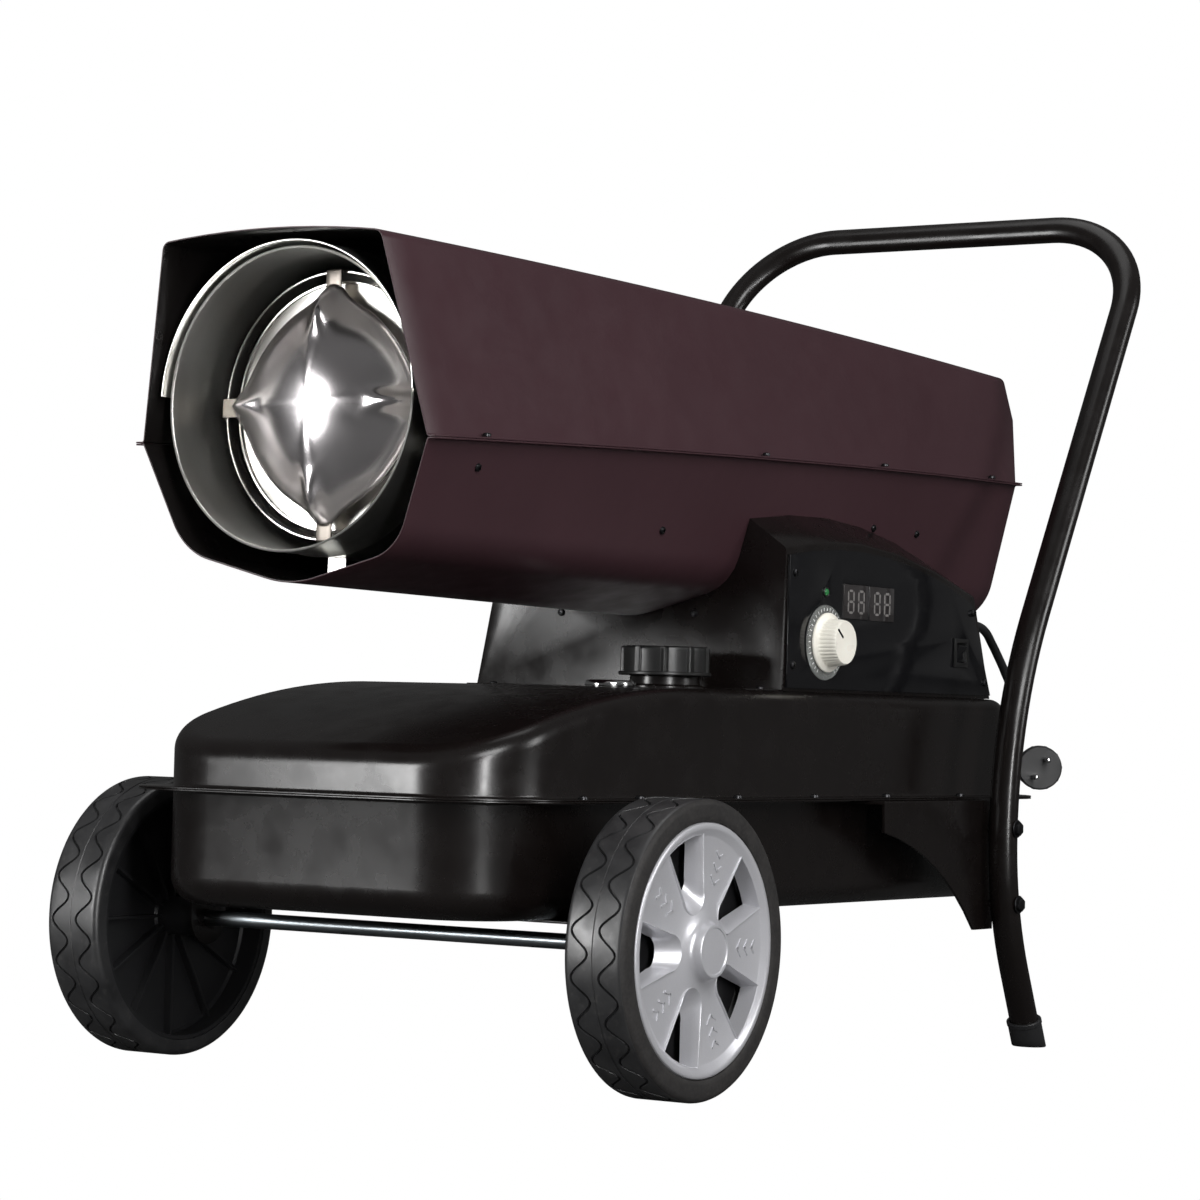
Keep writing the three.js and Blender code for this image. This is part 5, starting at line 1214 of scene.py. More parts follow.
# ---------------------------------------------------------------- fan, motor and pump
dressed("fan", aluminium, body="fan", bevel=0.25, smooth=40)
motor_start = FAN_PLACE + FAN_TO_MOTOR
motor_end = motor_start + MOTOR_LENGTH
cooling_rib = plain_mesh("cooling rib", [
    block(MOTOR_RADIUS - 2, MOTOR_RADIUS + 0.9, -1, 1, motor_start + 20, motor_end - 20),
], 0.3)
ribs = ring_of("cooling ribs", cooling_rib, 9, black_paint, math.pi * 1.05, math.pi * 0.9)
piece("fan_motor_case", [core_lathe([
    (0, motor_start + 34.3), (6.3, motor_start + 34.3), (6.3, motor_start), (26, motor_start),
    (28, motor_start + 1), (46, motor_start + 5), (54, motor_start + 8), (57.4, motor_start + 12),
    (MOTOR_RADIUS, motor_start + 16), (MOTOR_RADIUS, motor_end - 16), (57.4, motor_end - 12),
    (54, motor_end - 8), (46, motor_end - 5), (40, motor_end), (0, motor_end),
], 96), moved(ribs, along_core)], black_paint, "fan_motor", smooth=30)
pump_start = motor_end + CLEARANCE
pump_end = pump_start + PUMP_LENGTH
vent = block(-2.5, 2.5, 12, 32, pump_end + 8, pump_end + 20)
piece("air_pump_case", [core_lathe([
    (0, pump_start), (42, pump_start), (44.5, pump_start + 1.2), (PUMP_RADIUS, pump_start + 4),
    (PUMP_RADIUS, pump_end - 2), (45.2, pump_end - 0.6), (44, pump_end), (44, pump_end + 8),
    (42, pump_end + 11), (38, pump_end + 14), (0, pump_end + 14),
], 96)], zinc_plate, "air_pump", bevel=0.3, cuts=[
    moved(vent, along_core @ Matrix.Rotation(k * FULL_TURN / 6, 4, "Z")) for k in range(6)
])
dressed("motor_bracket", zinc_plate, bevel=0.3)


GUARD_RINGS, GUARD_WIRE, GUARD_SPOKES = (47, 79, 110), 3.2, 6


def rear_guard():
    """Three wire rings welded to six wire spokes, a pressed centre plate and four lugs."""
    guard_x, middle = BARREL_REAR - 8, (TOP_Z[1] + BOTTOM_Z[1]) / 2
    place = Matrix.Translation((guard_x, 0, middle)) @ Matrix.Rotation(QUARTER_TURN, 4, "Y")
    wire = oval(GUARD_WIRE, GUARD_WIRE, 12)
    forms = [turned([(radius + a, b) for a, b in wire], 96) for radius in GUARD_RINGS]
    spoke_line = [(0, out, 1.4) for out in (14, 60, 111)]
    spoke_section = [(a * 0.7, b * 0.7) for a, b in wire]
    spoke = plain_mesh("guard spoke", [swept(spoke_line, spoke_section, (1, 0, 0))])
    forms.append(ring_of("guard spokes", spoke, GUARD_SPOKES, black_paint))
    forms.append(turned([(0, -1), (15, -1), (17.4, -0.4), (18, 0.6), (18, 1.8), (17, 2.4),
                         (12, 2.8), (0, 2.8)], 48))
    lug = block(guard_x - 1.2, guard_x + 1.2, -7, 7, 108, 140)
    lugs = [
        moved(lug, Matrix.Translation((0, 0, middle)) @ Matrix.Rotation(k * QUARTER_TURN, 4, "X"))
        for k in (0, 1, 2, -1)
    ]
    room = []
    for t in (0.9, 1.0):
        outline = [*upper_line(t)[:-1], *reversed(lower_line(t)[1:])]
        room.append(on_station(t, offset_line(outline, 1.5, True)))
    made = add_object("lugs", build_mesh("lugs", lugs))
    combine(made, add_object("room", build_mesh("room", [loft(room)])), "INTERSECT")
    return piece("rear_guard_wires", [*[moved(f, place) for f in forms], taken_form(made)],
                 black_paint, "rear_guard", smooth=45)


rear_guard()


# ---------------------------------------------------------------- tank
def tank_top_at(x):
    """Height of the tank's top, which falls away in an arc towards the front."""
    run = max(BONNET_START - x, 0)
    return TANK_TOP - BONNET_RADIUS + math.sqrt(BONNET_RADIUS**2 - run**2)


def tank_plan(grow, corner):
    """Outline of the tank in plan, from the front round the +Y side and back."""
    front, rear, side = TANK_FRONT - grow, TANK_REAR + grow, TANK_HALF + grow

    def arc(centre_x, start, steps):
        angles = [start - QUARTER_TURN * k / steps for k in range(steps + 1)]
        middle = side - corner
        return [(centre_x + corner * math.cos(a), middle + corner * math.sin(a)) for a in angles]

    run = [(mix(front + corner, BONNET_START, k / 14), side) for k in range(1, 15)]
    half = [*arc(front + corner, math.pi, 18), *run, *arc(rear - corner, QUARTER_TURN, 18)]
    return [*half, *[(x, -y) for x, y in reversed(half)]]


def stamped_half(edge, height_at, facing):
    """One pressed half of the tank: flange, fillet, wall, rolled edge and closing face."""
    gap, fillet = CLEARANCE / 2, 2.5

    def ring(grow, corner, height):
        return [(x, y, FLANGE_Z + facing * height(x)) for x, y in tank_plan(grow, corner)]

    def skin(inside):
        low = gap + (0 if inside else SHEET)
        wall = -SHEET if inside else 0
        turn = fillet + (SHEET if inside else 0)
        rings = [ring(FLANGE_WIDTH, FLANGE_CORNER, lambda x: low)]
        for angle in (0, 22.5, 45, 67.5, 90):
            a = math.radians(angle)
            grow = wall + turn * (1 - math.sin(a))
            rings.append(ring(grow, TANK_CORNER + grow, lambda x: low + turn * (1 - math.cos(a))))
        bend = edge + wall
        for angle in range(0, 91, 10):
            a = math.radians(angle)
            inset = bend * (1 - math.cos(a)) - wall
            drop = bend * (1 - math.sin(a)) - wall
            rings.append(ring(-inset, TANK_CORNER - inset, lambda x: height_at(x) - drop))
        return rings

    outer, inner = skin(False), skin(True)
    count = len(outer[0])
    points = [p for rings in (outer, inner) for r in rings for p in r]
    faces, half = [], len(outer) * count
    for start in (0, half):
        for k in range(len(outer) - 1):
            for i in range(count):
                a, b = start + k * count + i, start + k * count + (i + 1) % count
                faces.append((a, b, b + count, a + count))
        top = start + (len(outer) - 1) * count
        for i in range(count // 2 - 1):
            faces.append((top + i, top + i + 1, top + count - 2 - i, top + count - 1 - i))
    faces += [(i, (i + 1) % count, half + (i + 1) % count, half + i) for i in range(count)]
    return points, faces


def upright(radius, x, y, low, high):
    profile = [(0, low), (radius, low), (radius, high), (0, high)]
    return lathe(profile, 48, Matrix.Translation((x, y, 0)))


piece("tank_upper_sheet", [stamped_half(TANK_EDGE, lambda x: tank_top_at(x) - FLANGE_Z, 1)],
      black_paint, "tank_upper", bevel=0.3, smooth=28, cuts=[
          upright(radius, x, CAP_Y, TANK_TOP - 11, TANK_TOP + 9)
          for radius, x in ((NECK_BORE + CLEARANCE, CAP_X), (GAUGE_THROAT, GAUGE_X))
      ])
piece("tank_lower_sheet", [stamped_half(TANK_FOOT_EDGE, lambda x: FLANGE_Z - TANK_BOTTOM, -1)],
      black_paint, "tank_lower", bevel=0.3, smooth=28)


# ---------------------------------------------------------------- filler neck, cap and fuel gauge
cap_place = Matrix.Translation((CAP_X, CAP_Y, 0))


def filler_neck():
    """Neck with a seated foot, a rolled mouth and the screw thread that the cap runs on."""
    wall = NECK_RADIUS
    profile = [
        (NECK_BORE, SEAT), (wall + 4, SEAT), (wall + 4, SEAT + 1.4), (wall + 2.6, SEAT + 2.2),
        (wall - 0.4, SEAT + 3),
    ]
    for k in range(4):
        foot = SEAT + 9.2 + 3 * k
        profile += [(wall - 0.9, foot), (wall, foot + 0.7), (wall, foot + 1.2),
                    (wall - 0.9, foot + 1.9)]
    profile += [(wall, NECK_TOP - 1), (wall - 1, NECK_TOP), (NECK_BORE + 0.8, NECK_TOP),
                (NECK_BORE, NECK_TOP - 0.8)]
    return piece("filler_neck_tube", [lathe(profile, 72, cap_place)], black_paint,
                 "filler_neck", smooth=32)


def cap_gasket():
    low, high = NECK_TOP + CLEARANCE, NECK_TOP + CLEARANCE + GASKET
    bore, wall, edge = NECK_BORE, NECK_RADIUS, 0.3
    return piece("cap_gasket_ring", [lathe([
        (bore, low + edge), (bore + edge, low), (wall - edge, low), (wall, low + edge),
        (wall, high - edge), (wall - edge, high), (bore + edge, high), (bore, high - edge),
    ], 64, cap_place)], hose_rubber, "cap_gasket", body="cap_lift", smooth=60)


def fuel_cap():
    """Moulded cap: ten grip pads over a plain rim, and a shallow round recess in the top."""
    pads, groove = 10, 3.0
    low, high = CAP_BASE + 1, CAP_BASE + CAP_HEIGHT - 0.5

    def pad(angle, radius, height):
        phase = (angle * pads / FULL_TURN + 0.125) % 1
        near = min(abs(phase - 1.0), phase) * FULL_TURN * CAP_RADIUS / pads
        cut = groove * max(0, 1 - (near / 3.2) ** 2) if radius > CAP_RADIUS - 6 else 0
        return radius - cut, height

    wall, bore, inside = CAP_RADIUS, NECK_RADIUS + 0.7, NECK_TOP + GASKET + 2 * CLEARANCE
    body = [(0, high - 2), (wall - 9.6, high - 2), (wall - 9, high - 1.4), (wall - 8.6, high - 0.5),
            (wall - 7.8, high), (wall - 2.0, high), (wall - 0.8, high - 0.5),
            (wall - 0.1, high - 1.6), (wall, high - 3), (wall, low + 4.4), (wall, low + 2.4),
            (wall, low - 0.4), (bore, low - 0.4), (bore, inside), (0, inside)]
    rim = [(bore, CAP_BASE), (wall + 0.8, CAP_BASE), (wall + 1.5, CAP_BASE + 0.7),
           (wall + 1.5, CAP_BASE + 2.3), (wall + 0.8, CAP_BASE + 3), (bore, CAP_BASE + 3)]
    forms = [lathe(body, 360, cap_place, pad), lathe(rim, 96, cap_place)]
    return piece("fuel_cap_moulding", forms, black_plastic, "fuel_cap",
                 body="cap_turn", smooth=35)


DIAL_Z = SEAT + 1.4
GAUGE_TICKS = 7


def fuel_gauge():
    """Bright ring round a white card with plain ticks, with body, glass, needle and float."""
    place = Matrix.Translation((GAUGE_X, CAP_Y, 0))
    wall = GAUGE_RADIUS
    ring = [
        (wall - 4.2, SEAT + 0.6), (wall, SEAT), (wall + 0.2, SEAT + 1.2), (wall - 0.1, SEAT + 2.8),
        (wall - 1.2, SEAT + 4.2), (wall - 2.4, SEAT + 4.8), (wall - 3.6, SEAT + 4.6),
        (wall - 4.4, SEAT + 3.6), (wall - 4.4, DIAL_Z),
    ]
    piece("gauge_ring", [lathe(ring, 72, place)], chrome_ring, "gauge_housing",
          smooth=50)
    made = add_object("gauge_body", build_mesh("gauge_body", [solid_form("gauge_housing")]))
    carve(made, [upright(wall + 3, GAUGE_X, CAP_Y, SEAT - 0.2, SEAT + 9)])
    finish_piece(made, zinc_plate, "heater")
    piece("gauge_card", [upright(wall - 4.3, GAUGE_X, CAP_Y, SEAT + 0.2, DIAL_Z)], white_card)
    tick = plain_mesh("gauge tick", [block(11.2, 14.6, -0.45, 0.45, DIAL_Z, DIAL_Z + 0.06)])
    first, sweep = math.radians(-60), math.radians(120) * GAUGE_TICKS / (GAUGE_TICKS - 1)
    ticks = ring_of("gauge ticks", tick, GAUGE_TICKS, gloss_black, first, sweep)
    piece("gauge_ticks", [moved(ticks, place)], gloss_black)
    piece("gauge_glass", [lathe([
        (0, SEAT + 3.9), (wall - 4.5, SEAT + 3.9), (wall - 4.5, SEAT + 4.4), (wall - 8, SEAT + 4.9),
        (0, SEAT + 5.2),
    ], 48, place)], clear_moulding, smooth=60)
    dressed("gauge_needle", red_plastic, body="needle", bevel=0.12)
    dressed("gauge_float", black_plastic, body="float_arm", bevel=0.6)


filler_neck()
cap_gasket()
fuel_cap()
fuel_gauge()


# ---------------------------------------------------------------- housing and its control panel
def round_hook():
    """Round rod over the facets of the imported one, with a rounded end."""
    z = HANK_Z + HANK_HALF_HEIGHT - CORD_RADIUS - 2 * CLEARANCE - 3
    end, bend = HANK_X + 13, 8
    start = housing_rear_at(z) - 0.6
    arc = [(end - bend + bend * math.sin(a), HANK_Y, z + bend - bend * math.cos(a))
           for a in [math.radians(10 * k) for k in range(10)]]
    line = [(start, HANK_Y, z), (start + 6, HANK_Y, z), *arc, (end, HANK_Y, z + 19),
            (end, HANK_Y, z + 20.6)]
    return swept(line, oval(HOOK_ROD, HOOK_ROD, 20), (0, 1, 0))


dressed("saddle_housing", black_paint, bevel=0.9, smooth=30, extra=[round_hook()])
dressed("control_panel", gloss_black, bevel=0.5, smooth=30)
dressed("control_board", board_green, bevel=0)
dressed("ignition_transformer", black_plastic, bevel=0.8)

KNOB_X, KNOB_Z = 356, 342.5
LED_X, LED_Z = 357.3, 384
WINDOWS = ((406, 377.7), (450.4, 377.4))
FIGURE_SHIFT, FIGURE_WIDE, FIGURE_HIGH, BAR_THICK = 8.6, 9.0, 18.0, 2.0
ROCKER_X, ROCKER_Z = 593, 340.5
DIAL_TICKS = 31


def off_panel(x, z):
    """Carries what was turned about Z to face -Y from a place on the panel's face."""
    return Matrix.Translation((x, PANEL_FRONT, z)) @ Matrix.Rotation(QUARTER_TURN, 4, "X")


def thermostat():
    """Ivory knob with grip flutes and a pointer, over a clear dial ring with plain ticks."""
    place = off_panel(KNOB_X, KNOB_Z)
    skirt, top, flutes, pointer_turn = 24.5, 20.5, 36, 0.9

    def flute(angle, radius, height):
        if 17 < radius < 21 and 6.2 < height < top - 0.6:
            radius -= 0.55 * (0.5 - 0.5 * math.cos(flutes * angle)) ** 2
        return radius, height

    body = [(0, 2.4), (skirt - 0.4, 2.4), (skirt, 2.8), (skirt, 4.0), (skirt - 0.7, 4.8),
            (20.4, 5.6), (19.8, 6.6), (19.5, 7.6), (19.2, 12), (18.8, 16), (18.5, 18.4),
            (18.1, 19.6), (17.4, top), (0, top)]
    stem = [(0, -10.4), (3, -10.4), (3, 2.6), (0, 2.6)]
    piece("thermostat_knob_moulding", [lathe(body, 288, place, flute), lathe(stem, 24, place)],
          ivory_plastic, "thermostat_knob", body="knob", smooth=40)
    pointer = block(-0.9, 0.9, 6.5, 17.0, top - 0.05, top + 0.5)
    piece("thermostat_knob_mark", [moved(pointer, place @ Matrix.Rotation(pointer_turn, 4, "Z"))],
          gloss_black, body="knob", bevel=0.15)
    piece("thermostat_dial_ring", [lathe([
        (3.3, CLEARANCE), (30.4, CLEARANCE), (31, 0.7), (30.6, 1.6), (29.6, 2), (3.3, 2),
    ], 96, place)], clear_moulding, "thermostat_dial", smooth=40)
    tick = plain_mesh("dial tick", [block(26.0, 28.6, -0.35, 0.35, 2.0, 2.08)])
    first, sweep = math.radians(-60), math.radians(310)
    ticks = ring_of("dial ticks", tick, DIAL_TICKS, white_print, first, sweep)
    piece("thermostat_dial_ticks", [moved(ticks, place)], white_print)


def indicator():
    place = off_panel(LED_X, LED_Z)
    heights = [math.radians(a) for a in range(15, 90, 15)]
    dome = [(0, -1), (3, -1), (3, 0.3)]
    dome += [(3 * math.cos(a), 0.3 + 1.7 * math.sin(a)) for a in heights]
    piece("indicator_dome", [lathe([*dome, (0, 2.0)], 36, place)], green_lens,
          "indicator_lens", smooth=60)
    piece("indicator_bezel", [lathe([
        (3.3, 0.02), (4.4, 0.02), (4.3, 0.5), (3.8, 0.7), (3.3, 0.4),
    ], 36, place)], black_plastic, smooth=50)


def seven_bars(x, z):
    """The seven bars of one unlit figure, standing just proud of its window."""
    w, h, t = FIGURE_WIDE / 2, FIGURE_HIGH / 2, BAR_THICK / 2
    front = PANEL_FRONT - 0.8
    level = [(x, z + h), (x, z), (x, z - h)]
    standing = [(x + side * w, z + rise * h / 2) for rise in (1, -1) for side in (-1, 1)]
    bars = []
    for centres, a, turned_up in ((level, w - t - 0.3, False), (standing, h / 2 - 0.3, True)):
        corners = [(-a, 0), (t - a, t), (a - t, t), (a, 0), (a - t, -t), (t - a, -t)]
        if turned_up:
            corners = [(q, p) for p, q in corners]
        for cx, cz in centres:
            bars.append(loft([[(cx + p, y, cz + q) for p, q in corners]
                              for y in (front - 0.12, front + 0.2)]))
    return bars


def display():
    dressed("display_module", smoked, bevel=0.5)
    bars = []
    for x, z in WINDOWS:
        for shift in (-FIGURE_SHIFT, FIGURE_SHIFT):
            bars += seven_bars(x + shift, z)
    piece("display_segments", bars, segment_grey)


thermostat()
indicator()
display()
dressed("switch_frame", black_plastic, bevel=0.6)
dressed("power_rocker", gloss_black, body="rocker", bevel=0.5, smooth=35)
piece("power_rocker_marks", [
    block(ROCKER_X - 0.5, ROCKER_X + 0.5, PANEL_FRONT - 1.72, PANEL_FRONT - 1.0,
          ROCKER_Z + 3.0, ROCKER_Z + 6.4),
], white_print, body="rocker")
dressed("fuel_hose", hose_rubber, bevel=0, smooth=75)
dressed("air_hose", hose_rubber, bevel=0, smooth=75)


# ---------------------------------------------------------------- axle and wheels
TREAD_WAVES = 20
SHOULDER = 5
RIM_WALL = 3
RIB_COUNT = 12
WINDOW_COUNT = 5
INNER_FACE = WHEEL_FACE - WHEEL_WIDTH
RIM_RADIUS = WHEEL_RADIUS - TYRE_DEPTH
LIP_RADIUS = WHEEL_RADIUS - TYRE_LIP
WEB = WHEEL_FACE - 30
BOSS_END = 198.3
CAP_BACK = WHEEL_FACE - 12
CAP_EDGE = LIP_RADIUS - CLEARANCE
HUB_END = CAP_BACK - 3

along_axle = Matrix.Rotation(-QUARTER_TURN, 4, "X")


def wheel_frame(side):
    """Places what is drawn for the +Y wheel, its axle along +Y, on either side."""
    turn = Matrix.Rotation(0 if side > 0 else math.pi, 4, "Z")
    return Matrix.Translation((0, 0, WHEEL_RADIUS)) @ turn


piece("axle_rod", [lathe([
    (0, -AXLE_END), (AXLE_RADIUS - 1, -AXLE_END), (AXLE_RADIUS, -AXLE_END + 1),
    (AXLE_RADIUS, AXLE_END - 1), (AXLE_RADIUS - 1, AXLE_END), (0, AXLE_END),
], 40, wheel_frame(1) @ along_axle)], axle_zinc, "axle", smooth=40)


def wheel_body(name):
    return f"wheel_{name.split('_')[-1]}"


def tyre(name, side):
    """Tread with two rows of scalloped grooves and a fine middle line, and smooth side walls."""
    middle = (INNER_FACE + WHEEL_FACE) / 2
    inner_end, outer_end = INNER_FACE + SHOULDER, WHEEL_FACE - SHOULDER
    reach, start, depth = 14.0, 1.8, 2.1

    def cut_at(centre, half):
        return [(centre - half, 0), (centre - 0.55 * half, depth), (centre + 0.55 * half, depth),
                (centre + half, 0)]

    def groove(angle, shift):
        phase = TREAD_WAVES / 2 * angle + shift
        slope = reach * TREAD_WAVES / 2 / WHEEL_RADIUS * abs(math.sin(2 * phase))
        return start + reach * math.sin(phase) ** 2, 1.05 * math.sqrt(1 + slope * slope)

    def rows(angle):
        near, near_half = groove(angle, 0)
        far, far_half = groove(angle, QUARTER_TURN)
        far_line, near_line = inner_end + far, outer_end - near
        return [
            (inner_end, 0), (mix(inner_end, far_line - far_half, 0.5), 0),
            *cut_at(far_line, far_half), (mix(far_line + far_half, middle - 0.9, 0.5), 0),
            (middle - 0.9, 0), (middle - 0.4, 0.7), (middle + 0.4, 0.7), (middle + 0.9, 0),
            (mix(middle + 0.9, near_line - near_half, 0.5), 0), *cut_at(near_line, near_half),
            (mix(near_line + near_half, outer_end, 0.5), 0), (outer_end, 0),
        ]

    bends = [math.radians(a) for a in (15, 30, 45, 60, 75)]
    shoulder = [(WHEEL_RADIUS - SHOULDER + SHOULDER * math.cos(a), math.sin(a)) for a in bends]
    points, steps = [], TREAD_WAVES * 26
    for k in range(steps):
        angle = FULL_TURN * k / steps
        ring = [(RIM_RADIUS + CLEARANCE, INNER_FACE), (WHEEL_RADIUS - SHOULDER, INNER_FACE)]
        ring += [(r, inner_end - SHOULDER * s) for r, s in reversed(shoulder)]
        ring += [(WHEEL_RADIUS - d, y) for y, d in rows(angle)]
        ring += [(r, outer_end + SHOULDER * s) for r, s in shoulder]
        ring += [(WHEEL_RADIUS - SHOULDER, WHEEL_FACE), (LIP_RADIUS + 5, WHEEL_FACE),
                 (LIP_RADIUS + 2.4, WHEEL_FACE - 0.2), (LIP_RADIUS + 0.8, WHEEL_FACE - 0.9),
                 (LIP_RADIUS, WHEEL_FACE - 2.2), (LIP_RADIUS, WHEEL_FACE - 5),
                 (RIM_RADIUS + CLEARANCE, WHEEL_FACE - 5)]
        points += [(r * math.cos(angle), y, -r * math.sin(angle)) for r, y in ring]
    form = moved((points, lathe_faces(steps, len(ring))), wheel_frame(side))
    made = add_object(f"{name}_rubber", build_mesh(f"{name}_rubber", [form], 34))
    finish_piece(made, [tread_rubber, wall_rubber], wheel_body(name), name)
    for polygon in made.data.polygons:
        off_face = abs(abs(polygon.center.y) * 1000 - WHEEL_FACE)
        polygon.material_index = 1 if off_face < 2.4 and abs(polygon.normal.y) > 0.4 else 0


def wheel_rim(name, side):
    """Drum, web and hub of the moulded wheel, with its ring of stiffening ribs."""
    bore, edge = AXLE_RADIUS + CLEARANCE, WHEEL_FACE - 5 - CLEARANCE
    wall = RIM_RADIUS - RIM_WALL
    drum = [
        (RIM_RADIUS, INNER_FACE + 1), (RIM_RADIUS, edge), (wall, edge), (wall, WEB + 5),
        (wall - 2, WEB + 3), (HUB_RADIUS + 2, WEB + 3), (HUB_RADIUS, WEB + 5),
        (HUB_RADIUS - 0.6, HUB_END), (bore, HUB_END), (bore, BOSS_END),
        (HUB_RADIUS - 1, BOSS_END), (HUB_RADIUS, BOSS_END + 1), (HUB_RADIUS, WEB - 2),
        (HUB_RADIUS + 2, WEB), (wall - 2, WEB), (wall, WEB - 2), (wall, INNER_FACE + 1),
    ]
    rib = plain_mesh("wheel rib", [
        block(HUB_RADIUS - 2, wall + 1, -1.2, 1.2, INNER_FACE + 14, WEB + 1),
    ], 0.4)
    place = wheel_frame(side) @ along_axle
    ribs = moved(ring_of("wheel ribs", rib, RIB_COUNT, rim_plastic), place)
    piece(f"{name}_moulding", [lathe(drum, 96, place), ribs], rim_plastic, name,
          body=wheel_body(name), smooth=35)


def window_outline(grow, slope=0.0):
    """Rounded window from its nose next to the hub to its wide outer end, as (across, out)."""
    nose, mouth = 12.6 + grow, 23.0 + grow
    near, far = HUB_DISC + 8 - grow, CAP_EDGE - 9 + grow
    turns = [math.pi * k / 16 for k in range(17)]
    line = [(nose * math.cos(a), near + nose * (1 - math.sin(a))) for a in turns]
    start, end = line[0], (mouth, far - 3)
    right = [(mix(end[0], start[0], s), mix(end[1], start[1], s)) for s in (0, 0.25, 0.5, 0.75)]
    left = [(-a, b) for a, b in reversed(right)]
    line = [*right, *line, *left, (-mouth * 0.5, far - 0.7), (0, far), (mouth * 0.5, far - 0.7)]
    if slope:
        line = [(a * (1 - 0.07 * slope), b + slope * (far - b) * 0.24) for a, b in line]
    return line


def hub_cap(name, side):
    """Dished disc with five framed windows, a ringed centre and plain bars on its spokes."""
    face, top, disc = WHEEL_FACE, WHEEL_FACE + HUB_RISE, HUB_DISC
    profile = [
        (0, face - 7), (disc + 8, face - 9), (CAP_EDGE - 12, face - 8), (CAP_EDGE - 5, CAP_BACK),
        (CAP_EDGE - 0.4, CAP_BACK), (CAP_EDGE, CAP_BACK + 0.4), (CAP_EDGE, face - 1.2),
        (CAP_EDGE - 0.6, face - 0.4), (CAP_EDGE - 2, face), (CAP_EDGE - 4, face),
        (CAP_EDGE - 5.2, face - 0.6), (CAP_EDGE - 9, face - 3.4), (CAP_EDGE - 10.5, face - 4),
        (disc + 20, face - 4.2), (disc + 10, face - 3.2), (disc + 3, face - 1),
        (disc + 0.4, face + 0.8), (disc - 0.8, face + 3), (disc - 1.6, top - 0.6),
        (disc - 2.2, top), (disc - 3.8, top), (disc - 4.4, top - 0.9), (0, top - 0.9),
    ]
    spin = FULL_TURN / WINDOW_COUNT
    turns = [wheel_frame(side) @ Matrix.Rotation(spin * (k + 0.25), 4, "Y")
             for k in range(WINDOW_COUNT)]

    def level(y, grow, slope=0.0):
        return [(a, y, b) for a, b in window_outline(grow, slope)]

    hole = loft([level(face - 30, 0.6), level(face + 20, 0.6)])
    collar = loft([
        level(face - 6, 1.9), level(face - 3.4, 1.7), level(face - 2.7, 1.2),
        level(face - 2.6, 0.7), level(face - 3.2, 0.1), level(face - 10, -0.2, 0.45),
        level(face - 17, -0.4, 1.0), level(face - 17, 1.2, 1.0), level(face - 9, 1.7, 0.35),
        level(face - 6, 1.9),
    ], False)
    bars = []
    for out in (50, 60, 70):
        bar = block(-0.5, 8.0 - (out - 50) * 0.1, face - 5.2, face - 3.3, -0.8, 0.8)
        spoke = Matrix.Rotation(spin / 2, 4, "Y") @ Matrix.Translation((0, 0, out))
        tilt = Matrix.Rotation(math.radians(-38), 4, "Y")
        bars += [moved(bar, spoke @ Matrix.Scale(lean, 4, (1, 0, 0)) @ tilt) for lean in (1, -1)]
    plate = lathe(profile, 120, wheel_frame(side) @ along_axle)
    made = add_object(f"{name}_disc", build_mesh(f"{name}_disc", [plate]))
    carve(made, [moved(hole, turn) for turn in turns], 30)
    trim = [moved(collar, turn) for turn in turns]
    trim += [moved(bar, turn) for turn in turns for bar in bars]
    piece(f"{name}_moulding", [taken_form(made), *trim], hub_paint, name,
          body=wheel_body(name), smooth=38)


for hand, side in (("left", -1), ("right", 1)):
    tyre(f"tyre_{hand}", side)
    wheel_rim(f"wheel_rim_{hand}", side)
    hub_cap(f"hub_cap_{hand}", side)
    dressed(f"axle_nut_{hand}", zinc_plate, bevel=0.2)
    dressed(f"axle_bracket_{hand}", black_paint, bevel=0.5)
    dressed(f"gusset_{hand}", black_paint, bevel=0.5)


# ---------------------------------------------------------------- handle, foot caps and bolts
FOOT_ARC_END = KNEE_Z - FOOT_BEND * math.sin(FOOT_LEAN)
LEG_ARC_END = KNEE_Z + LEG_BEND * math.sin(LEG_LEAN)
LEG_ARC_END_X = KNEE_X + LEG_BEND * (1 - math.cos(LEG_LEAN))
SOLE = 4
CUFF_WALL = 2
TUBE_SIDES = 36


def leg_x(z):
    """The leg's centre line in side view: foot, foot bend, leg bend and straight leg."""
    if z < FOOT_ARC_END:
        foot_x = KNEE_X + FOOT_BEND * (1 - math.cos(FOOT_LEAN))
        return foot_x + (FOOT_ARC_END - z) * math.tan(FOOT_LEAN)
    if z < KNEE_Z:
        return KNEE_X + FOOT_BEND - math.sqrt(FOOT_BEND**2 - (KNEE_Z - z) ** 2)
    if z < LEG_ARC_END:
        return KNEE_X + LEG_BEND - math.sqrt(LEG_BEND**2 - (z - KNEE_Z) ** 2)
    return LEG_ARC_END_X + (z - LEG_ARC_END) * math.tan(LEG_LEAN)


def leg_at(z, side):
    return Vector((leg_x(z), side * LEG_Y, z))


def levelled(ring, along, z):
    """Slides a ring of points along a direction until it lies in a level plane."""
    return [p + along * ((z - p.z) / along.z) for p in ring]


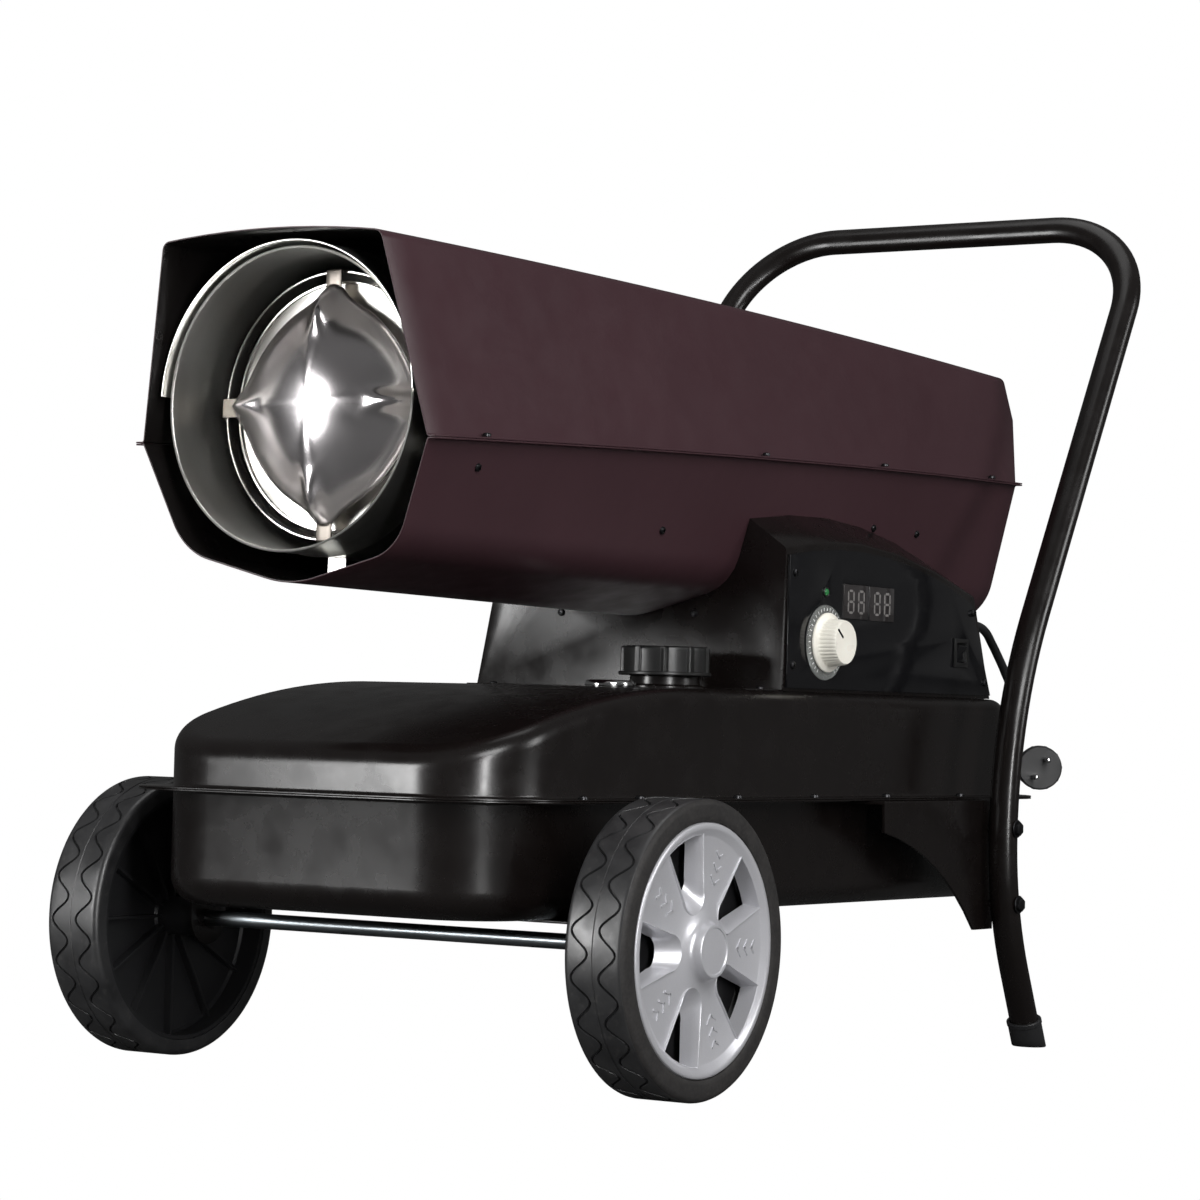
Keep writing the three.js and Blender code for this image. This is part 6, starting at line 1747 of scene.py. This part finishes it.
def handle_frame():
    """One oval tube: two bent legs, two corner bends and the top bar between them."""
    bend_z = BAR_Z - BAR_CORNER * math.cos(LEG_LEAN)
    heights = [-14, 0, FOOT_ARC_END * 0.6, FOOT_ARC_END]
    heights += [mix(FOOT_ARC_END, KNEE_Z, k / 10) for k in range(1, 11)]
    heights += [mix(KNEE_Z, LEG_ARC_END, k / 14) for k in range(1, 15)]
    heights += [mix(LEG_ARC_END, bend_z, k / 4) for k in range(1, 5)]
    leg = [leg_at(z, 1) for z in heights]
    up = Vector((math.sin(LEG_LEAN), 0, math.cos(LEG_LEAN)))
    centre = leg[-1] + Vector((0, -BAR_CORNER, 0))
    bend = [centre + up * (BAR_CORNER * math.sin(a)) + Vector((0, BAR_CORNER * math.cos(a), 0))
            for a in [QUARTER_TURN * k / 22 for k in range(1, 23)]]
    half = [*leg, *bend]
    line = [*half, *[Vector((p.x, -p.y, p.z)) for p in reversed(half)]]
    points, faces = swept(line, oval(TUBE_WIDE, TUBE_THIN, TUBE_SIDES), (0, 1, 0))
    points = [Vector(p) for p in points]
    down = (leg[0] - leg[1]).normalized()
    last = len(points) - TUBE_SIDES
    for start, height in ((0, SOLE + CLEARANCE), (last, SOLE + CLEARANCE),
                          (TUBE_SIDES, SOLE + 9), (last - TUBE_SIDES, SOLE + 9)):
        ring = slice(start, start + TUBE_SIDES)
        points[ring] = levelled(points[ring], down, height)
    piece("handle_tube", [(points, faces)], frame_paint, "handle_frame", smooth=50)


def foot_cap(name, side):
    """Rubber cup on the cut end of the leg, thicker at the sole, with a small lip at its mouth."""
    down = (leg_at(-14, side) - leg_at(8, side)).normalized()

    def ring(height, grow):
        line = [leg_at(height - 1, side), leg_at(height, side), leg_at(height + 1, side)]
        section = oval(TUBE_WIDE + 2 * grow, TUBE_THIN + 2 * grow, TUBE_SIDES)
        points = swept(line, section, (0, 1, 0))[0]
        return [Vector(p) for p in points[TUBE_SIDES : 2 * TUBE_SIDES]]

    outer = CLEARANCE + CUFF_WALL
    rings = [
        levelled(ring(0, outer - 0.9), down, 0), levelled(ring(2, outer), down, 1.0),
        levelled(ring(6, outer), down, 6.0), ring(14, outer), ring(20, outer),
        ring(20.6, outer + 0.6), ring(23.4, outer + 0.6), ring(24, outer - 0.1),
        ring(24, CLEARANCE), ring(14, CLEARANCE),
        levelled(ring(SOLE, CLEARANCE), down, SOLE),
    ]
    return piece(f"{name}_cup", [loft(rings)], cord_rubber, name, smooth=40)


handle_frame()
for hand, side in (("left", -1), ("right", 1)):
    foot_cap(f"foot_cap_{hand}", side)
    for label, height in zip(("upper", "lower"), BOLT_HEIGHTS):
        head = LEG_Y + TUBE_WIDE / 2 + CLEARANCE
        place = toward((0, side, 0), (leg_x(height), 0, height))
        washer = lathe([(3, head - 0.2), (7.6, head - 0.2), (7.8, head + 0.2), (7.6, head + 0.7),
                        (3, head + 0.7)], 32, place)
        dressed(f"{label}_bolt_{hand}", screw_steel, bevel=0.35, extra=[washer])


# ---------------------------------------------------------------- screws
def pan_head(name, radius, height):
    """Low domed head with a cross recess, its seat at the origin and its crown along +Z."""
    dome = [(0, -0.4), (radius, -0.4), (radius, height * 0.35), (radius * 0.86, height * 0.78),
            (radius * 0.5, height), (0, height * 1.06)]
    made = plain_mesh(name, [turned(dome, 20)], smooth=50)
    long, wide = radius * 0.55, radius * 0.13
    slot = block(-long, long, -wide, wide, height * 0.45, height * 2)
    for arm in (slot, moved(slot, Matrix.Rotation(QUARTER_TURN, 4, "Z"))):
        combine(made, plain_mesh("recess", [arm]), "DIFFERENCE", 50)
    return made


small_head = pan_head("small screw", 3.3, 2.1)
large_head = pan_head("large screw", 4.0, 2.6)

SEAM_SCREWS_X = (-104, 92, 288, 485, 682)
SEAM_SCREW_Y = 135.3
HIDDEN_SEAM_SCREW = 1
FLANK_SCREWS_XZ = ((-98.6, 455.3), (171, 424.7), (499.4, 444.8), (577, 444))
FLANGE_SCREWS_X = (-30, 47, 187, 306, 425, 556)
FLANGE_SCREW_Y = 177.5
FOOT_SCREW_X, FOOT_SCREWS_Y = 285, (-136, 126.5)
FACE_SCREW_Y, FACE_SCREW_Z = 65.7, 363.8
PANEL_SCREWS_XZ = ((306.3, 398), (305.2, 322.7), (616.4, 376.4), (640, 315.3))


def barrel_t(x):
    """Station of the barrel, 0 at its front and 1 at its rear."""
    return (x - BARREL_FRONT) / (BARREL_REAR - BARREL_FRONT)


def flank_point(x, z, side):
    """Place and outward direction on the lower shell's flank."""
    t = barrel_t(x)
    y0, z0 = mix(*SEAM_HALF, t), seam_at(t)
    y1, z1 = mix(*FLANK_FOOT_HALF, t), mix(*FLANK_FOOT_Z, t)
    share = (z - z0) / (z1 - z0)
    out = Vector((0, side * (z0 - z1), -(y0 - y1)))
    return (x, side * mix(y0, y1, share), z), out


seam_screws, flank_screws = [], []
for side in (1, -1):
    for i, x in enumerate(SEAM_SCREWS_X):
        z = seam_at(barrel_t(x)) + lip_gap + 2 * SHEET
        if side > 0 or i != HIDDEN_SEAM_SCREW:
            seam_screws.append(((x, side * SEAM_SCREW_Y, z), (0, 0, 1), 0.5 * i))
    for i, (x, z) in enumerate(FLANK_SCREWS_XZ):
        flank_screws.append((*flank_point(x, z, side), 0.7 * i))
flange_screws = [
    ((x, side * FLANGE_SCREW_Y, FLANGE_Z + lip_gap + SHEET), (0, 0, 1), 0.4 * i)
    for side in (1, -1) for i, x in enumerate(FLANGE_SCREWS_X)
]
panel_screws = [((x, PANEL_FRONT, z), (0, -1, 0), 0.6 * i)
                for i, (x, z) in enumerate(PANEL_SCREWS_XZ)]
housing_screws = [((FOOT_SCREW_X, y, SEAT + SHEET), (0, 0, 1), 0.3) for y in FOOT_SCREWS_Y]
housing_screws += [
    ((HOUSING_FRONT, y, FACE_SCREW_Z), (-1, 0, 0), 0.8) for y in (-FACE_SCREW_Y, FACE_SCREW_Y)
]
clip_rivets = []
for k in range(4):
    turn = core_place @ Matrix.Rotation(k * QUARTER_TURN, 4, "X")
    place = turn @ Vector((DIFFUSER_SEAT - 2.6, 0, DIFFUSER_ARM - 5.5))
    clip_rivets.append((place, turn.to_3x3() @ Vector((-1, 0, 0)), 0.4 * k))
for name, head, places, size in (
    ("seam_screws", small_head, seam_screws, 1.0), ("flank_screws", small_head, flank_screws, 1.0),
    ("flange_screws", large_head, flange_screws, 1.0),
    ("panel_screws", small_head, panel_screws, 1.0),
    ("housing_screws", small_head, housing_screws, 1.0),
    ("clip_rivets", small_head, clip_rivets, 0.8),
):
    fasten(name, head, places, screw_steel, size)
for copy in (small_head, large_head):
    bpy.data.objects.remove(copy)


# ---------------------------------------------------------------- floor, backdrop and light
def plain_white(name, strength):
    """White to the camera, and a dark matt floor to all other light."""
    white = Finish(name, (0.08, 0.08, 0.08), 0.9)
    glow = white.node("ShaderNodeEmission", Strength=strength)
    seen = white.tree.nodes.new("ShaderNodeLightPath")
    pick = add_node(white.tree, "ShaderNodeMixShader", {
        0: seen.outputs["Is Camera Ray"], 1: white.shader.outputs[0], 2: glow.outputs[0],
    })
    out = next(n for n in white.tree.nodes if n.type == "OUTPUT_MATERIAL")
    white.wire(pick.outputs[0], out.inputs[0])
    return white.material


SKY_LEVELS = ((0.0, 0.05), (0.46, 0.06), (0.52, 0.09), (0.66, 0.06), (1.0, 0.16))


def studio_world():
    """White behind the object, and a softer sky for what the object mirrors."""
    world = bpy.data.worlds.new("white studio")
    world.use_nodes = True
    bpy.context.scene.world = world
    tree = world.node_tree
    place = tree.nodes.new("ShaderNodeTexCoord")
    split = add_node(tree, "ShaderNodeSeparateXYZ", {0: place.outputs["Generated"]})
    lift = add_node(tree, "ShaderNodeMath", {0: split.outputs["Z"], 1: 0.5, 2: 0.5},
                    operation="MULTIPLY_ADD")
    sky = add_node(tree, "ShaderNodeValToRGB", {"Fac": lift.outputs[0]})
    set_stops(sky, [(height, (level, level, level)) for height, level in SKY_LEVELS])
    back = tree.nodes["Background"]
    tree.links.new(sky.outputs["Color"], back.inputs["Color"])
    back.inputs["Strength"].default_value = 1
    direct = add_node(tree, "ShaderNodeBackground", {"Color": (1, 1, 1, 1), "Strength": 1})
    path = tree.nodes.new("ShaderNodeLightPath")
    either = add_node(tree, "ShaderNodeMath", {
        0: path.outputs["Is Camera Ray"], 1: path.outputs["Is Transmission Ray"],
    }, operation="MAXIMUM")
    pick = add_node(tree, "ShaderNodeMixShader", {
        0: either.outputs[0], 1: back.outputs[0], 2: direct.outputs[0],
    })
    out = next(n for n in tree.nodes if n.type == "OUTPUT_WORLD")
    tree.links.new(pick.outputs[0], out.inputs[0])


def lamp(name, place, aim, wide, high, power):
    """An area lamp, places and sizes in metres, power in watts."""
    light = bpy.data.lights.new(name, "AREA")
    light.shape = "RECTANGLE"
    light.size, light.size_y = wide, high
    light.energy = power
    direction = (Vector(aim) - Vector(place)).normalized()
    turn = direction.to_track_quat("-Z", "Y").to_matrix().to_4x4()
    add_object(name, light).matrix_world = Matrix.Translation(Vector(place)) @ turn


FLOOR_REACH, FLOOR_LEVEL = 9, -0.0005


def stage():
    floor_mesh = bpy.data.meshes.new("white floor")
    signs = ((-1, -1), (1, -1), (1, 1), (-1, 1))
    corners = [(x * FLOOR_REACH, y * FLOOR_REACH, FLOOR_LEVEL) for x, y in signs]
    floor_mesh.from_pydata(corners, [], [(0, 1, 2, 3)])
    floor = add_object("white_floor", floor_mesh)
    floor_mesh.materials.append(plain_white("white floor", 1.0))


studio_world()
stage()
for name, place, aim, wide, high, power in (
    ("key light", (-2.2, -2.6, 2.6), (0, 0, 0.4), 1.5, 1.1, 60),
    ("side light", (1.0, -3.2, 1.6), (0.1, 0, 0.35), 0.9, 1.6, 34),
    ("front light", (-2.85, 1.45, 0.6), (-0.45, 0, 0.35), 0.7, 1.5, 52),
    ("corner strip", (-2.0, -2.3, 0.7), (-0.35, -0.1, 0.25), 0.24, 1.5, 38),
    ("top light", (0.2, 0.4, 3.4), (0, 0, 0.4), 2.2, 1.8, 14),
):
    lamp(name, place, aim, wide, high, power)
